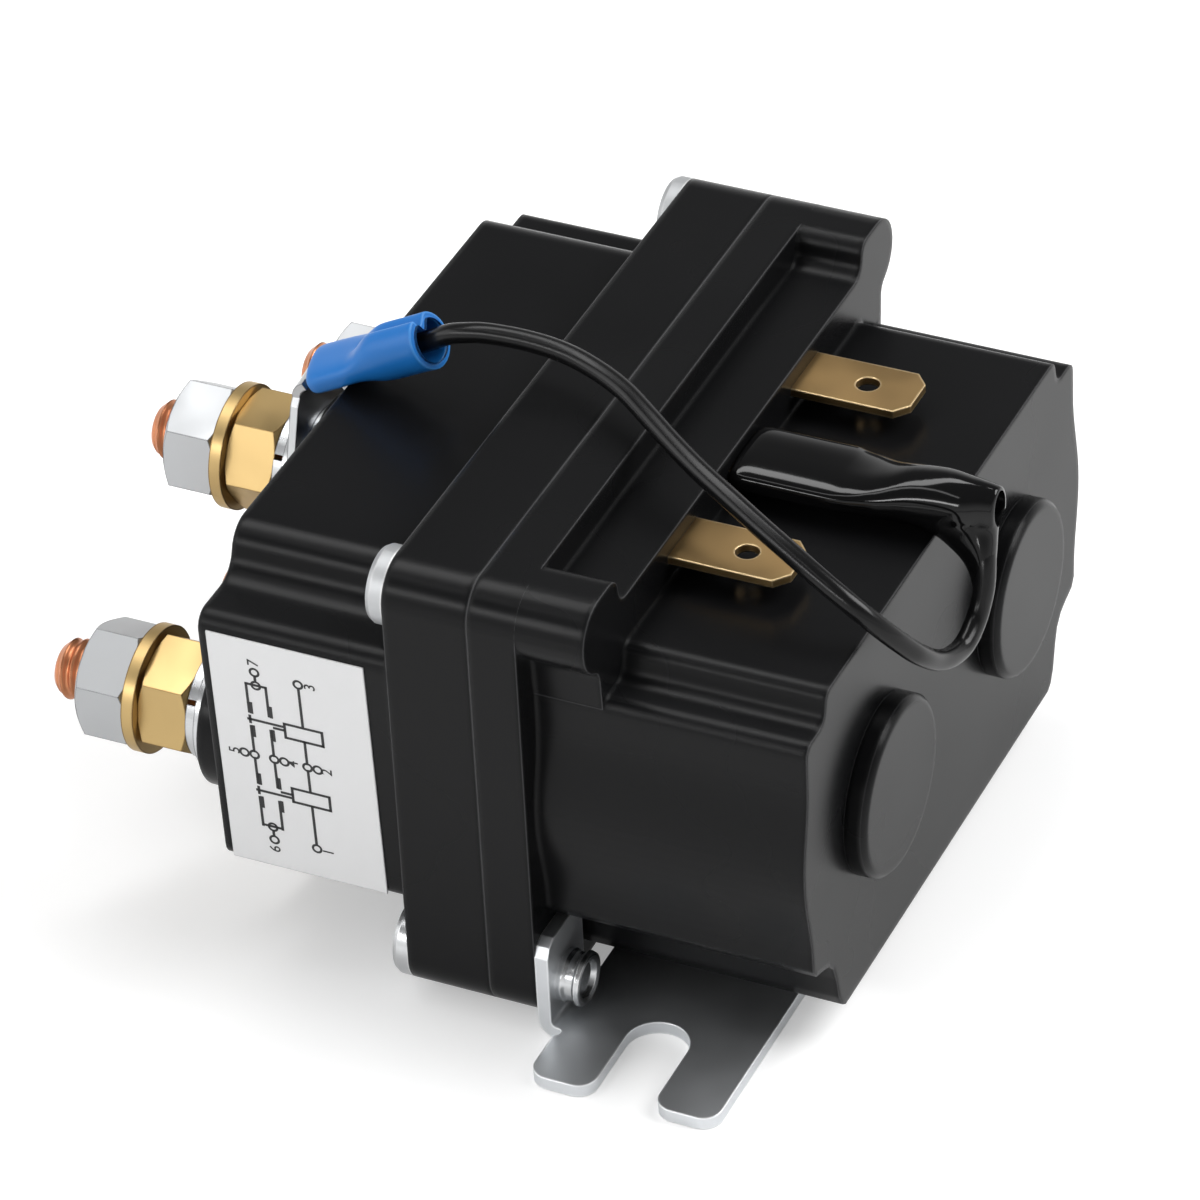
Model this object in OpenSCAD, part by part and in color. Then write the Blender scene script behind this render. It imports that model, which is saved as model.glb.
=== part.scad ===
// Dual-coil reversing contactor: four copper power studs on the front cover,
// two coils side by side in the rear housing, a steel foot bracket underneath.
// X runs along the stack (studs at -X, coils at +X), Y across, Z up.
// The origin is the centre of the two foot slots on the bracket's underside.

/* [Flange stack] */
// Position of the parting plane between cover and coil housing
parting_x = -15.6; // [-20:0.1:-12]
// Thickness of the front flange, moulded with the cover
flange_front = 8.1; // [6:0.1:12]
// Thickness of the rear flange, moulded with the coil housing
flange_rear = 4.6; // [3.6:0.1:8]
// Width of both flanges, across Y
flange_w = 69.3; // [66:0.1:76]
// Height of both flanges
flange_h = 46.5; // [44:0.1:52]
// Height of the flange's bottom edge above the bracket's underside
flange_z = 1.1; // [0.6:0.1:1.3]
// Corner radius of the flanges
flange_r = 3.6; // [3:0.1:5]

/* [Front cover] */
// Depth of the cover in front of the flange
cover_depth = 18.4; // [16:0.1:24]
// Half width of the cover's side, carried up to the cover's top
cover_half = 34.9; // [33:0.1:35]
// How far the side leans in over the cover's height
cover_lean = 1.85; // [0:0.05:2.5]
// Cover top, below the flange's top edge
cover_drop = 4.8; // [4:0.1:6]
// Height of the shoulder step in the cover's outline
shoulder_h = 4.3; // [3:0.1:5]
// Half width of the cover's top flat
cover_flat = 24.6; // [22:0.1:26]
// Wall thickness of the cover
cover_wall = 2.2; // [1.6:0.1:2.4]
// Radius of the round collar around each stud
collar_r = 7.2; // [6.5:0.1:7.6]
// Height of the collars on the side and bottom studs
collar_h = 2.5; // [1.5:0.1:4]
// Height of the taller collar on the top stud
collar_tall = 3.9; // [2.5:0.1:5]
// Height of the low collar on the bottom stud
collar_low = 0.6; // [0.4:0.1:1.5]

/* [Coil housing] */
// Depth of the block with the two ears, behind the rear flange
block_depth = 6.5; // [5:0.1:9]
// Depth of the coil housing behind the block
coil_depth = 19.1; // [18.6:0.1:26]
// Height of the housing's flat top
housing_top = 39.8; // [39.4:0.1:42]
// Height of the valley floor between the ears
valley_z = 44.4; // [44:0.1:46]
// Half width of the housing's top flat
top_half = 26.6; // [24:0.1:28]
// Half width of the housing's sides above and below the bulge
side_half = 31.4; // [31:0.1:32]
// How far the sides bulge around the coils
bulge = 1.3; // [0:0.1:1.8]
// Height of the housing's bottom
housing_z = 3.5; // [2.5:0.1:4]
// Wall thickness of the housing
housing_wall = 1.8; // [1.4:0.1:2.2]
// Radius of the two round plugs on the rear face
plug_r = 8.45; // [7.5:0.05:9]
// How far the plugs stand out
plug_h = 2.1; // [1.2:0.1:3]

/* [Bracket] */
// Sheet thickness
bracket_t = 1.3; // [1:0.1:1.6]
// Length of the foot strip across Y
bracket_l = 82.6; // [80:0.2:90]
// Half of the foot strip's width along X
bracket_half = 9.05; // [8:0.05:11]
// Width of the screw slots
slot_w = 6.0; // [5.4:0.1:6.6]
// Distance between the two slot centres
slot_span = 66.8; // [64:0.2:70]
// Height of the two riveted tabs
tab_top = 10.4; // [9:0.1:10.6]

/* [Studs and nuts] */
// Thread diameter of the power studs
stud_d = 5.8; // [5.6:0.1:6]
// Distance of the side studs from the middle
stud_y = 25.4; // [24:0.1:26]
// Height of the side studs
stud_z = 21.1; // [20:0.1:24]
// Height of the top stud
top_z = 30.4; // [29.4:0.1:31]
// Height of the bottom stud
bottom_z = 13.3; // [13:0.1:14]
// Nut width across flats
nut_af = 10; // [9.8:0.1:10.2]
// Thickness of the outer zinc nuts
outer_nut_h = 5.2; // [4.6:0.1:5.6]
// Thickness of the inner brass nuts
inner_nut_h = 4.9; // [4:0.1:5]
// Outer radius of the brass washers
washer_r = 6.0; // [5.6:0.1:6.4]
// Thickness of the brass washers
washer_h = 1.2; // [0.8:0.1:1.6]

/* [Spade tabs] */
// Width of the spade tabs
spade_w = 6.3; // [4.8:0.1:6.3]
// Thickness of the spade tabs
spade_t = 0.8; // [0.5:0.1:1]
// Spacing between neighbouring tabs
spade_pitch = 13.7; // [13:0.1:15]
// Height of the tabs' middle plane
spade_z = 42.1; // [41.8:0.1:42.3]
// Length of the tabs behind the block
spade_l = 11.1; // [9:0.1:13]

/* [Coils] */
// Distance of each coil axis from the middle
coil_y = 15.65; // [15:0.05:16]
// Height of the coil axes
coil_z = 22.0; // [21.6:0.1:22.4]
// Winding's outer radius
wind_r = 12.7; // [11:0.1:12.9]
// Radius of the moving plungers
plunger_r = 5.93; // [5.5:0.01:6]
// Radial clearance of plunger and push rod
slide_gap = 0.07; // [0.04:0.01:0.1]
// Plunger and bridge travel
travel = 2.2; // [1.6:0.1:2.4]

/* [Hidden] */

eps = 0.01;
fine = 64;

// Stack positions along X
front_x = parting_x - flange_front;
cover_x = front_x - cover_depth;
rear_x = parting_x + flange_rear;
block_x = rear_x + block_depth;
end_x = block_x + coil_depth;
inner_front_x = cover_x + cover_wall;
inner_rear_x = end_x - housing_wall;

// Flange heights
flange_top = flange_z + flange_h;
mid_z = flange_z + flange_h / 2;
flange_half = flange_w / 2;
rivet_y = flange_half - flange_r;
rivet_low = flange_z + flange_r;
rivet_high = flange_top - flange_r;

// Rivets
shank_r = 2.1;
head_r = 3.6;
head_h = 1.9;
roll_r = 2.5;
roll_l = 2.3;
hole_gap = 0.05;

// Colours
black = [0.09, 0.09, 0.10];
grey = [0.78, 0.79, 0.80];
zinc = [0.80, 0.81, 0.83];
copper = [0.80, 0.45, 0.30];
brass = [0.83, 0.66, 0.36];
blue = [0.10, 0.42, 0.80];
varnish = [0.62, 0.26, 0.12];
nylon = [0.90, 0.88, 0.82];
silver = [0.86, 0.86, 0.84];

// Points of an arc from angle a to angle b, both ends included
function arc(cy, cz, r, a, b, n) =
    [for (i = [0 : n]) [cy + r * cos(a + (b - a) * i / n),
                        cz + r * sin(a + (b - a) * i / n)]];

// The same points with the side mirrored and the order reversed
function mirror_y(p) = [for (i = [len(p) - 1 : -1 : 0]) [-p[i][0], p[i][1]]];
function mirror_z(p, c) = [for (i = [len(p) - 1 : -1 : 0]) [p[i][0], 2 * c - p[i][1]]];

// Extrudes a profile drawn in Y and Z from x0 to x1
module along_x(x0, x1) {
    translate([x0, 0, 0])
        rotate([90, 0, 90])
            linear_extrude(height = x1 - x0)
                children();
}

// A round bar along X
module rod_x(x0, x1, r, y, z, n = fine) {
    translate([x0, y, z])
        rotate([0, 90, 0])
            cylinder(h = x1 - x0, r = r, $fn = n);
}

// A ring along X
module ring_x(x0, x1, r, bore, y, z) {
    difference() {
        rod_x(x0, x1, r, y, z);
        rod_x(x0 - 1, x1 + 1, bore, y, z);
    }
}

// A box given by its two corners
module box(a, b) {
    translate(a)
        cube([b[0] - a[0], b[1] - a[1], b[2] - a[2]]);
}

// A plate with four round corners, its thickness along X
module round_plate(x0, x1, half, z0, z1, r) {
    box([x0, -half + r, z0], [x1, half - r, z1]);
    box([x0, -half, z0 + r], [x1, half, z1 - r]);
    for (y = [-half + r, half - r])
        for (z = [z0 + r, z1 - r])
            rod_x(x0, x1, r, y, z, 48);
}

module at_corners() {
    for (y = [-rivet_y, rivet_y])
        for (z = [rivet_low, rivet_high])
            translate([0, y, z])
                children();
}

// Stud places: [y, z, collar height, nut angle, inner nut angle, tip beyond the nut]
studs = [[-stud_y, stud_z, collar_h, 54, 70, 3.6],
         [stud_y, stud_z, collar_h, 73, 52, 3.6],
         [0, top_z, collar_tall, 66, 27, 2.7],
         [0, bottom_z, collar_low, 20, 45, 2.1]];
stud_r = stud_d / 2;

// Stack on one stud, from the collar outward (lengths along -X)
flat_h = 1.0;
split_h = 1.2;
lug_t = 0.8;
lug_stack = lug_t + flat_h;

function collar_x(s) = cover_x - s[2];
function lug_x(s) = collar_x(s) - (s[2] > collar_h ? lug_stack : 0);
function flat_x(s) = lug_x(s) - flat_h;
function split_x(s) = flat_x(s) - split_h;
function inner_nut_x(s) = split_x(s) - inner_nut_h;
function washer_x(s) = inner_nut_x(s) - washer_h;
function outer_nut_x(s) = washer_x(s) - outer_nut_h;
function tip_x(s) = outer_nut_x(s) - s[5];

// Half outline of the front cover, right side from top to bottom, inset by w
shoulder_ra = 3.0;
shoulder_a = asin(1 - shoulder_h / (2 * shoulder_ra));
shoulder_run = 2 * shoulder_ra * cos(shoulder_a);
side_r = 1.7;
cover_top = flange_top - cover_drop;
cover_height = 2 * (cover_top - mid_z);
function corner_r(w) = max(side_r - w, 0.4);
function cover_upper(w) = concat(
    arc(cover_flat, cover_top - shoulder_ra, shoulder_ra - w, 90, shoulder_a, 7),
    arc(cover_flat + shoulder_run, cover_top - shoulder_h + shoulder_ra,
        shoulder_ra + w, 180 + shoulder_a, 270, 7),
    arc(cover_half - w - corner_r(w), cover_top - shoulder_h - w - corner_r(w),
        corner_r(w), 90, 0, 6));
function lean_at(z) = cover_lean * (cover_top - z) / cover_height;
function leaned(p) = [for (q = p) [q[0] - lean_at(q[1]), q[1]]];
function cover_half_outline(w) = leaned(concat(cover_upper(w),
    mirror_z(cover_upper(w), mid_z)));
function cover_outline(w) = concat(cover_half_outline(w),
    mirror_y(cover_half_outline(w)));

module front_cover() {
    color(black)
        difference() {
            union() {
                round_plate(front_x, parting_x, flange_half, flange_z, flange_top, flange_r);
                along_x(cover_x, front_x + eps)
                    polygon(cover_outline(0));
                for (s = studs)
                    rod_x(collar_x(s), cover_x + eps, collar_r, s[0], s[1]);
            }
            along_x(inner_front_x, parting_x + 1)
                polygon(cover_outline(cover_wall));
            for (s = studs)
                rod_x(cover_x - 10, cover_x + 5, stud_r + hole_gap, s[0], s[1]);
            at_corners()
                rod_x(front_x - 1, parting_x + 1, shank_r + hole_gap, 0, 0);
        }
}

// Label panel on the near side of the cover, on its leaning face
label_t = 0.15;
label_l = 15.4;
label_h = 26.2;
label_x = front_x - 17.6;
label_z = 10.9;
lean_angle = atan(cover_lean / cover_height);
module label() {
    color(grey)
        translate([label_x, -cover_half + lean_at(label_z), label_z])
            rotate([lean_angle, 0, 0])
                translate([0, -label_t, 0])
                    cube([label_l, label_t, label_h]);
}

// Half outline of the coil housing, from its top corner down the side
bulge_z = 22.9;
bulge_w = 10;
function side_y(z) = side_half
    + (abs(z - bulge_z) < bulge_w ? bulge * (1 + cos(180 * (z - bulge_z) / bulge_w)) / 2 : 0);
function housing_half() = concat(
    [[0, housing_top]],
    arc(top_half - 0.8, housing_top - 1.2, 1.2, 90, 10, 4),
    arc(top_half + 1.9, housing_top - 1.5, 1.4, 190, 270, 4),
    arc(side_half - 1.2, housing_top - 4.1, 1.2, 90, 0, 4),
    [for (z = [32.8 : -1.1 : 12.9]) [side_y(z), z]],
    [[side_half, 12.3]],
    [[side_half - 0.6, 11.4], [side_half - 2.2, 10.9], [28.0, 10.4], [27.0, 9.3]],
    [[26.5, 7.8], [25.9, 5.2], [25.3, housing_z + 0.5], [24.6, housing_z], [0, housing_z]]);
function mirrored_half(p) = concat(p,
    [for (i = [len(p) - 2 : -1 : 1]) [-p[i][0], p[i][1]]]);

// Half outline of the block with the ears, from the valley round the ear
ear_a = -65;
ear_n = 1.6;
function block_half() = concat(
    [[0, valley_z], [25.0, valley_z]],
    arc(25.6, valley_z + 1.6, 1.6, 270, 340, 4),
    arc(28.8, flange_top - 1.6, 1.6, 160, 90, 4),
    arc(rivet_y, rivet_high, flange_r, 90, ear_a, 12),
    arc(rivet_y + (flange_r + ear_n) * cos(ear_a), rivet_high + (flange_r + ear_n) * sin(ear_a),
        ear_n, 180 + ear_a, 180, 4),
    [[side_half, 36], [20, 36], [0, 36]]);

// Inside of the housing
module housing_cavity() {
    along_x(parting_x - 1, inner_rear_x)
        polygon([[-24.2, housing_top - housing_wall], [24.2, housing_top - housing_wall],
            [29.4, housing_top - 5.4], [29.4, 13.2], [24.6, 11.0], [23.4, housing_z + housing_wall],
            [-23.4, housing_z + housing_wall], [-24.6, 11.0], [-29.4, 13.2],
            [-29.4, housing_top - 5.4]]);
}

pocket_x = block_x - 2.0;
pocket_z = valley_z - 1.0;
spade_gap = 0.05;
module coil_housing() {
    color(black)
        difference() {
            union() {
                round_plate(parting_x, rear_x, flange_half, flange_z, flange_top, flange_r);
                along_x(rear_x - eps, block_x)
                    polygon(mirrored_half(block_half()));
                along_x(rear_x - eps, end_x)
                    polygon(mirrored_half(housing_half()));
                for (y = [-16, 16])
                    box([-5, y - 5, bracket_t], [5, y + 5, housing_z + eps]);
            }
            housing_cavity();
            box([parting_x - 1, -20, housing_top - 4], [pocket_x, 20, pocket_z]);
            for (i = [-1 : 1])
                box([pocket_x - 1, i * spade_pitch - spade_w / 2 - spade_gap,
                     spade_z - spade_t / 2 - spade_gap],
                    [block_x + 1, i * spade_pitch + spade_w / 2 + spade_gap,
                     spade_z + spade_t / 2 + spade_gap]);
            for (y = [-coil_y, coil_y])
                rod_x(inner_rear_x - 1, end_x + 1, plug_hole_r, y, coil_z);
            for (y = [-rivet_y, rivet_y]) {
                rod_x(parting_x - 1, rear_x + 1, shank_r + hole_gap, y, rivet_low);
                rod_x(parting_x - 1, ear_hole_x, shank_r + hole_gap, y, rivet_high);
            }
        }
}
ear_hole_x = block_x - 1.8;

// Round plugs that close the two core openings
plug_hole_r = 6.4;
plug_edge = 0.5;
module rear_plugs() {
    color(black)
        for (y = [-coil_y, coil_y])
            translate([end_x, y, coil_z])
                rotate([0, 90, 0])
                    rotate_extrude($fn = 72)
                        polygon([[0, -1.6], [plug_hole_r - 0.02, -1.6], [plug_hole_r - 0.02, 0],
                            [plug_r, 0], [plug_r, plug_h - plug_edge],
                            [plug_r - plug_edge, plug_h], [0, plug_h]]);
}

// Foot bracket: strip with open slots, and two tabs folded up against the rear flange
bend_r = 0.6;
prong_r = 1.8;
tab_in = 27.3;
module bracket() {
    bend_o = bend_r + bracket_t;
    tab_x = rear_x;
    hinge_x = rear_x + bend_o;
    slot_y = slot_span / 2;
    color(zinc)
        difference() {
            union() {
                box([hinge_x, -bracket_l / 2 + prong_r, 0], [bracket_half, bracket_l / 2 - prong_r, bracket_t]);
                for (s = [-1, 1])
                    for (p = [[hinge_x, -slot_w / 2], [slot_w / 2, bracket_half]]) {
                        box([p[0] + prong_r, s > 0 ? bracket_l / 2 - prong_r - 1 : -bracket_l / 2, 0],
                            [p[1] - prong_r, s > 0 ? bracket_l / 2 : -bracket_l / 2 + prong_r + 1, bracket_t]);
                        for (x = [p[0] + prong_r, p[1] - prong_r])
                            translate([x, s * (bracket_l / 2 - prong_r), 0])
                                cylinder(h = bracket_t, r = prong_r, $fn = 32);
                    }
                for (s = [-1, 1]) {
                    intersection() {
                        translate([hinge_x, s * (tab_in + flange_half) / 2, bend_o])
                            rotate([90, 0, 0])
                                difference() {
                                    cylinder(h = flange_half - tab_in, r = bend_o, center = true, $fn = 48);
                                    cylinder(h = flange_half, r = bend_r, center = true, $fn = 48);
                                }
                        box([tab_x - 1, s * (tab_in + flange_half) / 2 - 10, -1],
                            [hinge_x + eps, s * (tab_in + flange_half) / 2 + 10, bend_o]);
                    }
                    along_x(tab_x, tab_x + bracket_t)
                        polygon([[s * tab_in, bend_o], [s * flange_half, bend_o],
                            [s * flange_half, tab_top - 1.5], [s * (flange_half - 0.5), tab_top - 0.5],
                            [s * (flange_half - 1.5), tab_top], [s * (tab_in + 1.8), tab_top],
                            [s * tab_in, tab_top - 1.6]]);
                }
            }
            for (s = [-1, 1]) {
                translate([0, s * slot_y, -1])
                    cylinder(h = 4, r = slot_w / 2, $fn = 48);
                box([-slot_w / 2, s > 0 ? slot_y : -bracket_l, -1],
                    [slot_w / 2, s > 0 ? bracket_l : -slot_y, 3]);
                translate([hinge_x, s * (flange_half + 0.5), -1])
                    cylinder(h = 4, r = 0.5, $fn = 24);
                rod_x(tab_x - 1, tab_x + 3, shank_r + hole_gap, s * rivet_y, rivet_low);
            }
        }
}

// Rivet head with a slightly domed face
module rivet_head() {
    translate([front_x, 0, 0])
        rotate([0, -90, 0])
            rotate_extrude($fn = 48)
                polygon([[0, 0], [head_r, 0], [head_r, head_h - 0.7], [head_r - 0.25, head_h - 0.25],
                    [head_r - 0.9, head_h], [0, head_h + 0.05]]);
}

module rivets_upper() {
    color(zinc)
        for (y = [-rivet_y, rivet_y])
            translate([0, y, rivet_high]) {
                rivet_head();
                rod_x(front_x - eps, ear_hole_x - 0.5, shank_r, 0, 0, 48);
            }
}

// Lower rivets: tubular ends rolled over on the bracket tabs
module rivets_lower() {
    end = rear_x + bracket_t;
    color(zinc)
        for (y = [-rivet_y, rivet_y])
            translate([0, y, rivet_low]) {
                rivet_head();
                rod_x(front_x - eps, end + eps, shank_r, 0, 0, 48);
                translate([end, 0, 0])
                    rotate([0, 90, 0])
                        rotate_extrude($fn = 48)
                            polygon([[0, 0], [roll_r, 0], [roll_r, 0.5], [roll_r - 0.2, 0.8],
                                [roll_r - 0.2, roll_l - 0.8], [roll_r + 0.1, roll_l - 0.5],
                                [roll_r, roll_l - 0.1], [roll_r - 0.3, roll_l],
                                [roll_r - 0.7, roll_l - 0.15], [1.5, roll_l - 0.6], [1.5, 0.6], [0, 0.6]]);
            }
}

// Stud with chamfered tip, a locking groove outside the nut, and a flat head against
// the inside of the cover
stud_head_r = 4.6;
stud_head_h = 1.5;
head_x = inner_front_x + stud_head_h;
tip_chamfer = 0.8;
groove_w = 0.6;
groove_r = stud_r - 0.25;
module stud(s, post_x) {
    tip = tip_x(s);
    groove_x = s[5] - groove_w - hole_gap;
    translate([tip, s[0], s[1]])
        rotate([0, 90, 0])
            rotate_extrude($fn = fine)
                polygon([[0, 0], [stud_r - 0.7, 0], [stud_r, tip_chamfer], [stud_r, groove_x],
                    [groove_r, groove_x], [groove_r, groove_x + groove_w],
                    [stud_r, groove_x + groove_w], [stud_r, inner_front_x - tip],
                    [stud_head_r, inner_front_x - tip], [stud_head_r, head_x - tip],
                    [stud_r, head_x - tip], [stud_r, post_x - tip], [0, post_x - tip]]);
}

// Contact planes: the bridge rests against the front tips and pulls in to the rear ones
bridge_t = 1.6;
tip_h = 1.1;
contact_gap = 0.05;
front_tip_x = inner_front_x + 9.9;
bridge_x = front_tip_x + contact_gap;
rear_tip_x = bridge_x + bridge_t + travel + contact_gap;
bar_t = 1.2;
pad_r = 2.4;
contact_z = 21.5;
bar_y = 6.2;

module stud_near() { color(copper) stud(studs[0], front_tip_x - tip_h); }
module stud_far() { color(copper) stud(studs[1], front_tip_x - tip_h); }
module stud_top() { color(copper) stud(studs[2], rear_tip_x + tip_h); }
module stud_bottom() { color(copper) stud(studs[3], front_tip_x - tip_h - bar_t); }

// Hex nut with chamfered corners
module nut(x, h, s, angle) {
    corner = nut_af / 2 / cos(30);
    difference() {
        intersection() {
            translate([x, s[0], s[1]])
                rotate([0, 90, 0])
                    rotate([0, 0, 180 - angle])
                        cylinder(h = h, r = corner, $fn = 6);
            translate([x, s[0], s[1]])
                rotate([0, 90, 0])
                    rotate_extrude($fn = fine)
                        polygon([[0, 0], [corner - 0.75, 0], [corner + 0.05, 0.5],
                            [corner + 0.05, h - 0.5], [corner - 0.75, h], [0, h]]);
        }
        rod_x(x - 1, x + h + 1, stud_r + hole_gap, s[0], s[1]);
    }
}

module outer_nuts() {
    color(zinc)
        for (s = studs)
            nut(outer_nut_x(s), outer_nut_h, s, s[3]);
}

module inner_nuts() {
    color(brass)
        for (s = studs)
            nut(inner_nut_x(s), inner_nut_h, s, s[4]);
}

module brass_washers() {
    color(brass)
        for (s = studs)
            ring_x(washer_x(s), washer_x(s) + washer_h, washer_r, stud_r + hole_gap, s[0], s[1]);
}

// Split spring washers, each with its cut
split_r = 5.2;
module spring_washers() {
    color(zinc)
        for (s = studs)
            difference() {
                ring_x(split_x(s), split_x(s) + split_h, split_r, stud_r + hole_gap, s[0], s[1]);
                translate([split_x(s) + split_h / 2, s[0], s[1]])
                    rotate([55, 0, 0])
                        translate([0, 0, split_r])
                            cube([split_h + 1, 0.5, split_r * 1.2], center = true);
            }
}

module flat_washers() {
    color(zinc) {
        for (s = studs)
            ring_x(flat_x(s), flat_x(s) + flat_h, washer_r, stud_r + hole_gap, s[0], s[1]);
        ring_x(collar_x(studs[2]) - flat_h, collar_x(studs[2]), washer_r, stud_r + hole_gap,
            0, top_z);
    }
}

// Ring lug on the top stud: it stands turned a little to the near side, and its tongue
// folds back over the cover and gets narrower inside the blue sleeve
lug_turn = 8;
lug_rise = 10.35;
lug_slope = 29.3;
lug_w = 4.8;
lug_blade_w = 3.4;
lug_fold = 0.2;
lug_blade_l = 5.0;
lug_bend = 1.3;
// Side view of the tongue, in X and height over the stud: upright, bend, sloping end of length l
function lug_profile(x, l) =
    let (cx = x + lug_t + lug_bend, a = 90 + lug_slope,
         n = [cos(a), sin(a)], d = [cos(lug_slope), sin(lug_slope)])
    concat([[x, lug_rise - 3]],
        arc(cx, lug_rise, lug_bend + lug_t, 180, a, 6),
        [[cx, lug_rise] + (lug_bend + lug_t) * n + l * d],
        [[cx, lug_rise] + lug_bend * n + l * d],
        arc(cx, lug_rise, lug_bend, a, 180, 6),
        [[x + lug_t, lug_rise - 3]]);
module lug_tongue(x, l, w) {
    rotate([90, 0, 0])
        linear_extrude(height = w, center = true)
            polygon(lug_profile(x, l));
}
module ring_lug() {
    x = lug_x(studs[2]);
    ear_h = 3.3;
    color(zinc)
        translate([0, 0, top_z])
            rotate([lug_turn, 0, 0])
                difference() {
                    union() {
                        rod_x(x, x + lug_t, washer_r, 0, 0);
                        along_x(x, x + lug_t)
                            polygon([[-washer_r, 0], [-washer_r, ear_h], [-lug_w / 2 - 0.6, lug_rise - 0.6],
                                [-lug_w / 2, lug_rise], [lug_w / 2, lug_rise],
                                [lug_w / 2 + 0.6, lug_rise - 0.6], [washer_r, ear_h], [washer_r, 0]]);
                        lug_tongue(x, lug_fold, lug_w);
                        lug_tongue(x, lug_blade_l, lug_blade_w);
                    }
                    rod_x(x - 1, x + 2, stud_r + hole_gap, 0, 0);
                }
}

// Places its children at the start of the sleeve on the lug, with X along the sleeve
lug_sleeve_start = 0.2;
module on_lug() {
    translate([lug_x(studs[2]) + lug_t + lug_bend, 0, top_z])
        rotate([lug_turn, 0, 0])
            translate([0, 0, lug_rise])
                rotate([0, -lug_slope, 0])
                    translate([lug_sleeve_start, 0, lug_bend + lug_t / 2])
                        children();
}

// Flat-oval section with w across and t high, dented at the top by d (n points)
function oval(w, t, d, n) = [for (k = [0 : n - 1])
    let (a = 360 * (k + 0.5) / n, off = abs(a - 90))
    [(w - t) / 2 * sign(cos(a)) + t / 2 * cos(a),
     t / 2 * sin(a) - (off < 40 ? d * (1 - off / 40) : 0)]];

// One section of a sleeve: place along X, width, thickness, dent, and centre in Y and Z
function section(x, w, t, dent = 0, y = 0, z = 0) = [x, w, t, dent, y, z];

// Sections from a flat end to a round barrel: l is the flat's length, neck the length of
// the change, (y, z) the barrel's offset, and the flat's corners are narrowed by ease
function flat_to_barrel(w, t, l, neck, d, ease, dent = 0, y = 0, z = 0) = concat(
    [for (q = [[0, 1], [0.3, 0.5], [0.9, 0.12], [1.6, 0], [l, 0]]) section(q[0], w - ease * q[1], t)],
    [for (k = [0.25 : 0.25 : 1])
        section(l + neck * k, w + (d - w) * k, t + (d - t) * k, dent * k, y * k, z * k)]);

// Hollow sleeve along X: the inside is smaller by the wall, and the mouth may be cut
// back below by slant
sleeve_wall = 0.45;
sleeve_n = 24;
function sleeve_ring(q, inset, slant) =
    [for (p = oval(q[1] - 2 * inset, q[2] - 2 * inset, q[3], sleeve_n))
        [q[0] - slant * (1 - 2 * p[1] / q[2]) / 2, p[0] + q[4], p[1] + q[5]]];
module hollow_sleeve(sections, slant = 0) {
    m = len(sections);
    n = sleeve_n;
    rings = concat([for (i = [0 : m - 1]) sleeve_ring(sections[i], 0, i == m - 1 ? slant : 0)],
        [for (i = [m - 1 : -1 : 0]) sleeve_ring(sections[i], sleeve_wall, i == m - 1 ? slant : 0)]);
    points = [for (r = rings) each r];
    faces = [for (i = [0 : 2 * m - 1]) for (k = [0 : n - 1])
        let (a = i * n + k, b = i * n + (k + 1) % n, j = (i + 1) % (2 * m), c = j * n + (k + 1) % n,
             d = j * n + k)
        each [[a, d, c], [a, c, b]]];
    polyhedron(points = points, faces = faces, convexity = 6);
}

// Blue sleeve: flat end over the tongue, neck, round barrel with a creased seam on top
lug_flat_w = 6.2;
lug_flat_t = 2.4;
lug_flat_l = 5.8;
lug_neck = 2.4;
lug_barrel_d = 5.3;
lug_total = 14.3;
lug_ease = 1.2;
lug_dent = 0.9;
module lug_sleeve() {
    color(blue)
        on_lug()
            hollow_sleeve(concat(
                flat_to_barrel(lug_flat_w, lug_flat_t, lug_flat_l, lug_neck, lug_barrel_d, lug_ease,
                    lug_dent),
                [section(lug_total, lug_barrel_d, lug_barrel_d, lug_dent)]));
}

// Female receptacle: flat box round a blade w by t from x0 to l, a link, and a crimped
// barrel round the lead from b to b + barrel_l, its axis at (y, z)
receptacle_wall = 0.3;
fit_gap = 0.03;
lead_gap = 0.1;
module receptacle(x0, l, w, t, b, barrel_l, y, z) {
    half_w = w / 2 + fit_gap;
    half_t = t / 2 + fit_gap;
    difference() {
        union() {
            box([x0, -half_w - receptacle_wall, -half_t - receptacle_wall],
                [l, half_w + receptacle_wall, half_t + receptacle_wall]);
            box([l - 0.5, -1, -0.5], [b + 0.5, 1, 0.5]);
            rod_x(b, b + barrel_l, lead_r + lead_gap + 0.2, y, z, 32);
        }
        box([x0 - 1, -half_w, -half_t], [l - 0.4, half_w, half_t]);
        rod_x(b + 0.3, b + barrel_l + 1, lead_r + lead_gap, y, z, 32);
    }
}
module lug_terminal() {
    color(brass)
        on_lug()
            receptacle(1.3, lug_flat_l, lug_blade_w, lug_t, lug_flat_l + lug_neck + 0.3, 3.2, 0, 0);
}

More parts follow.
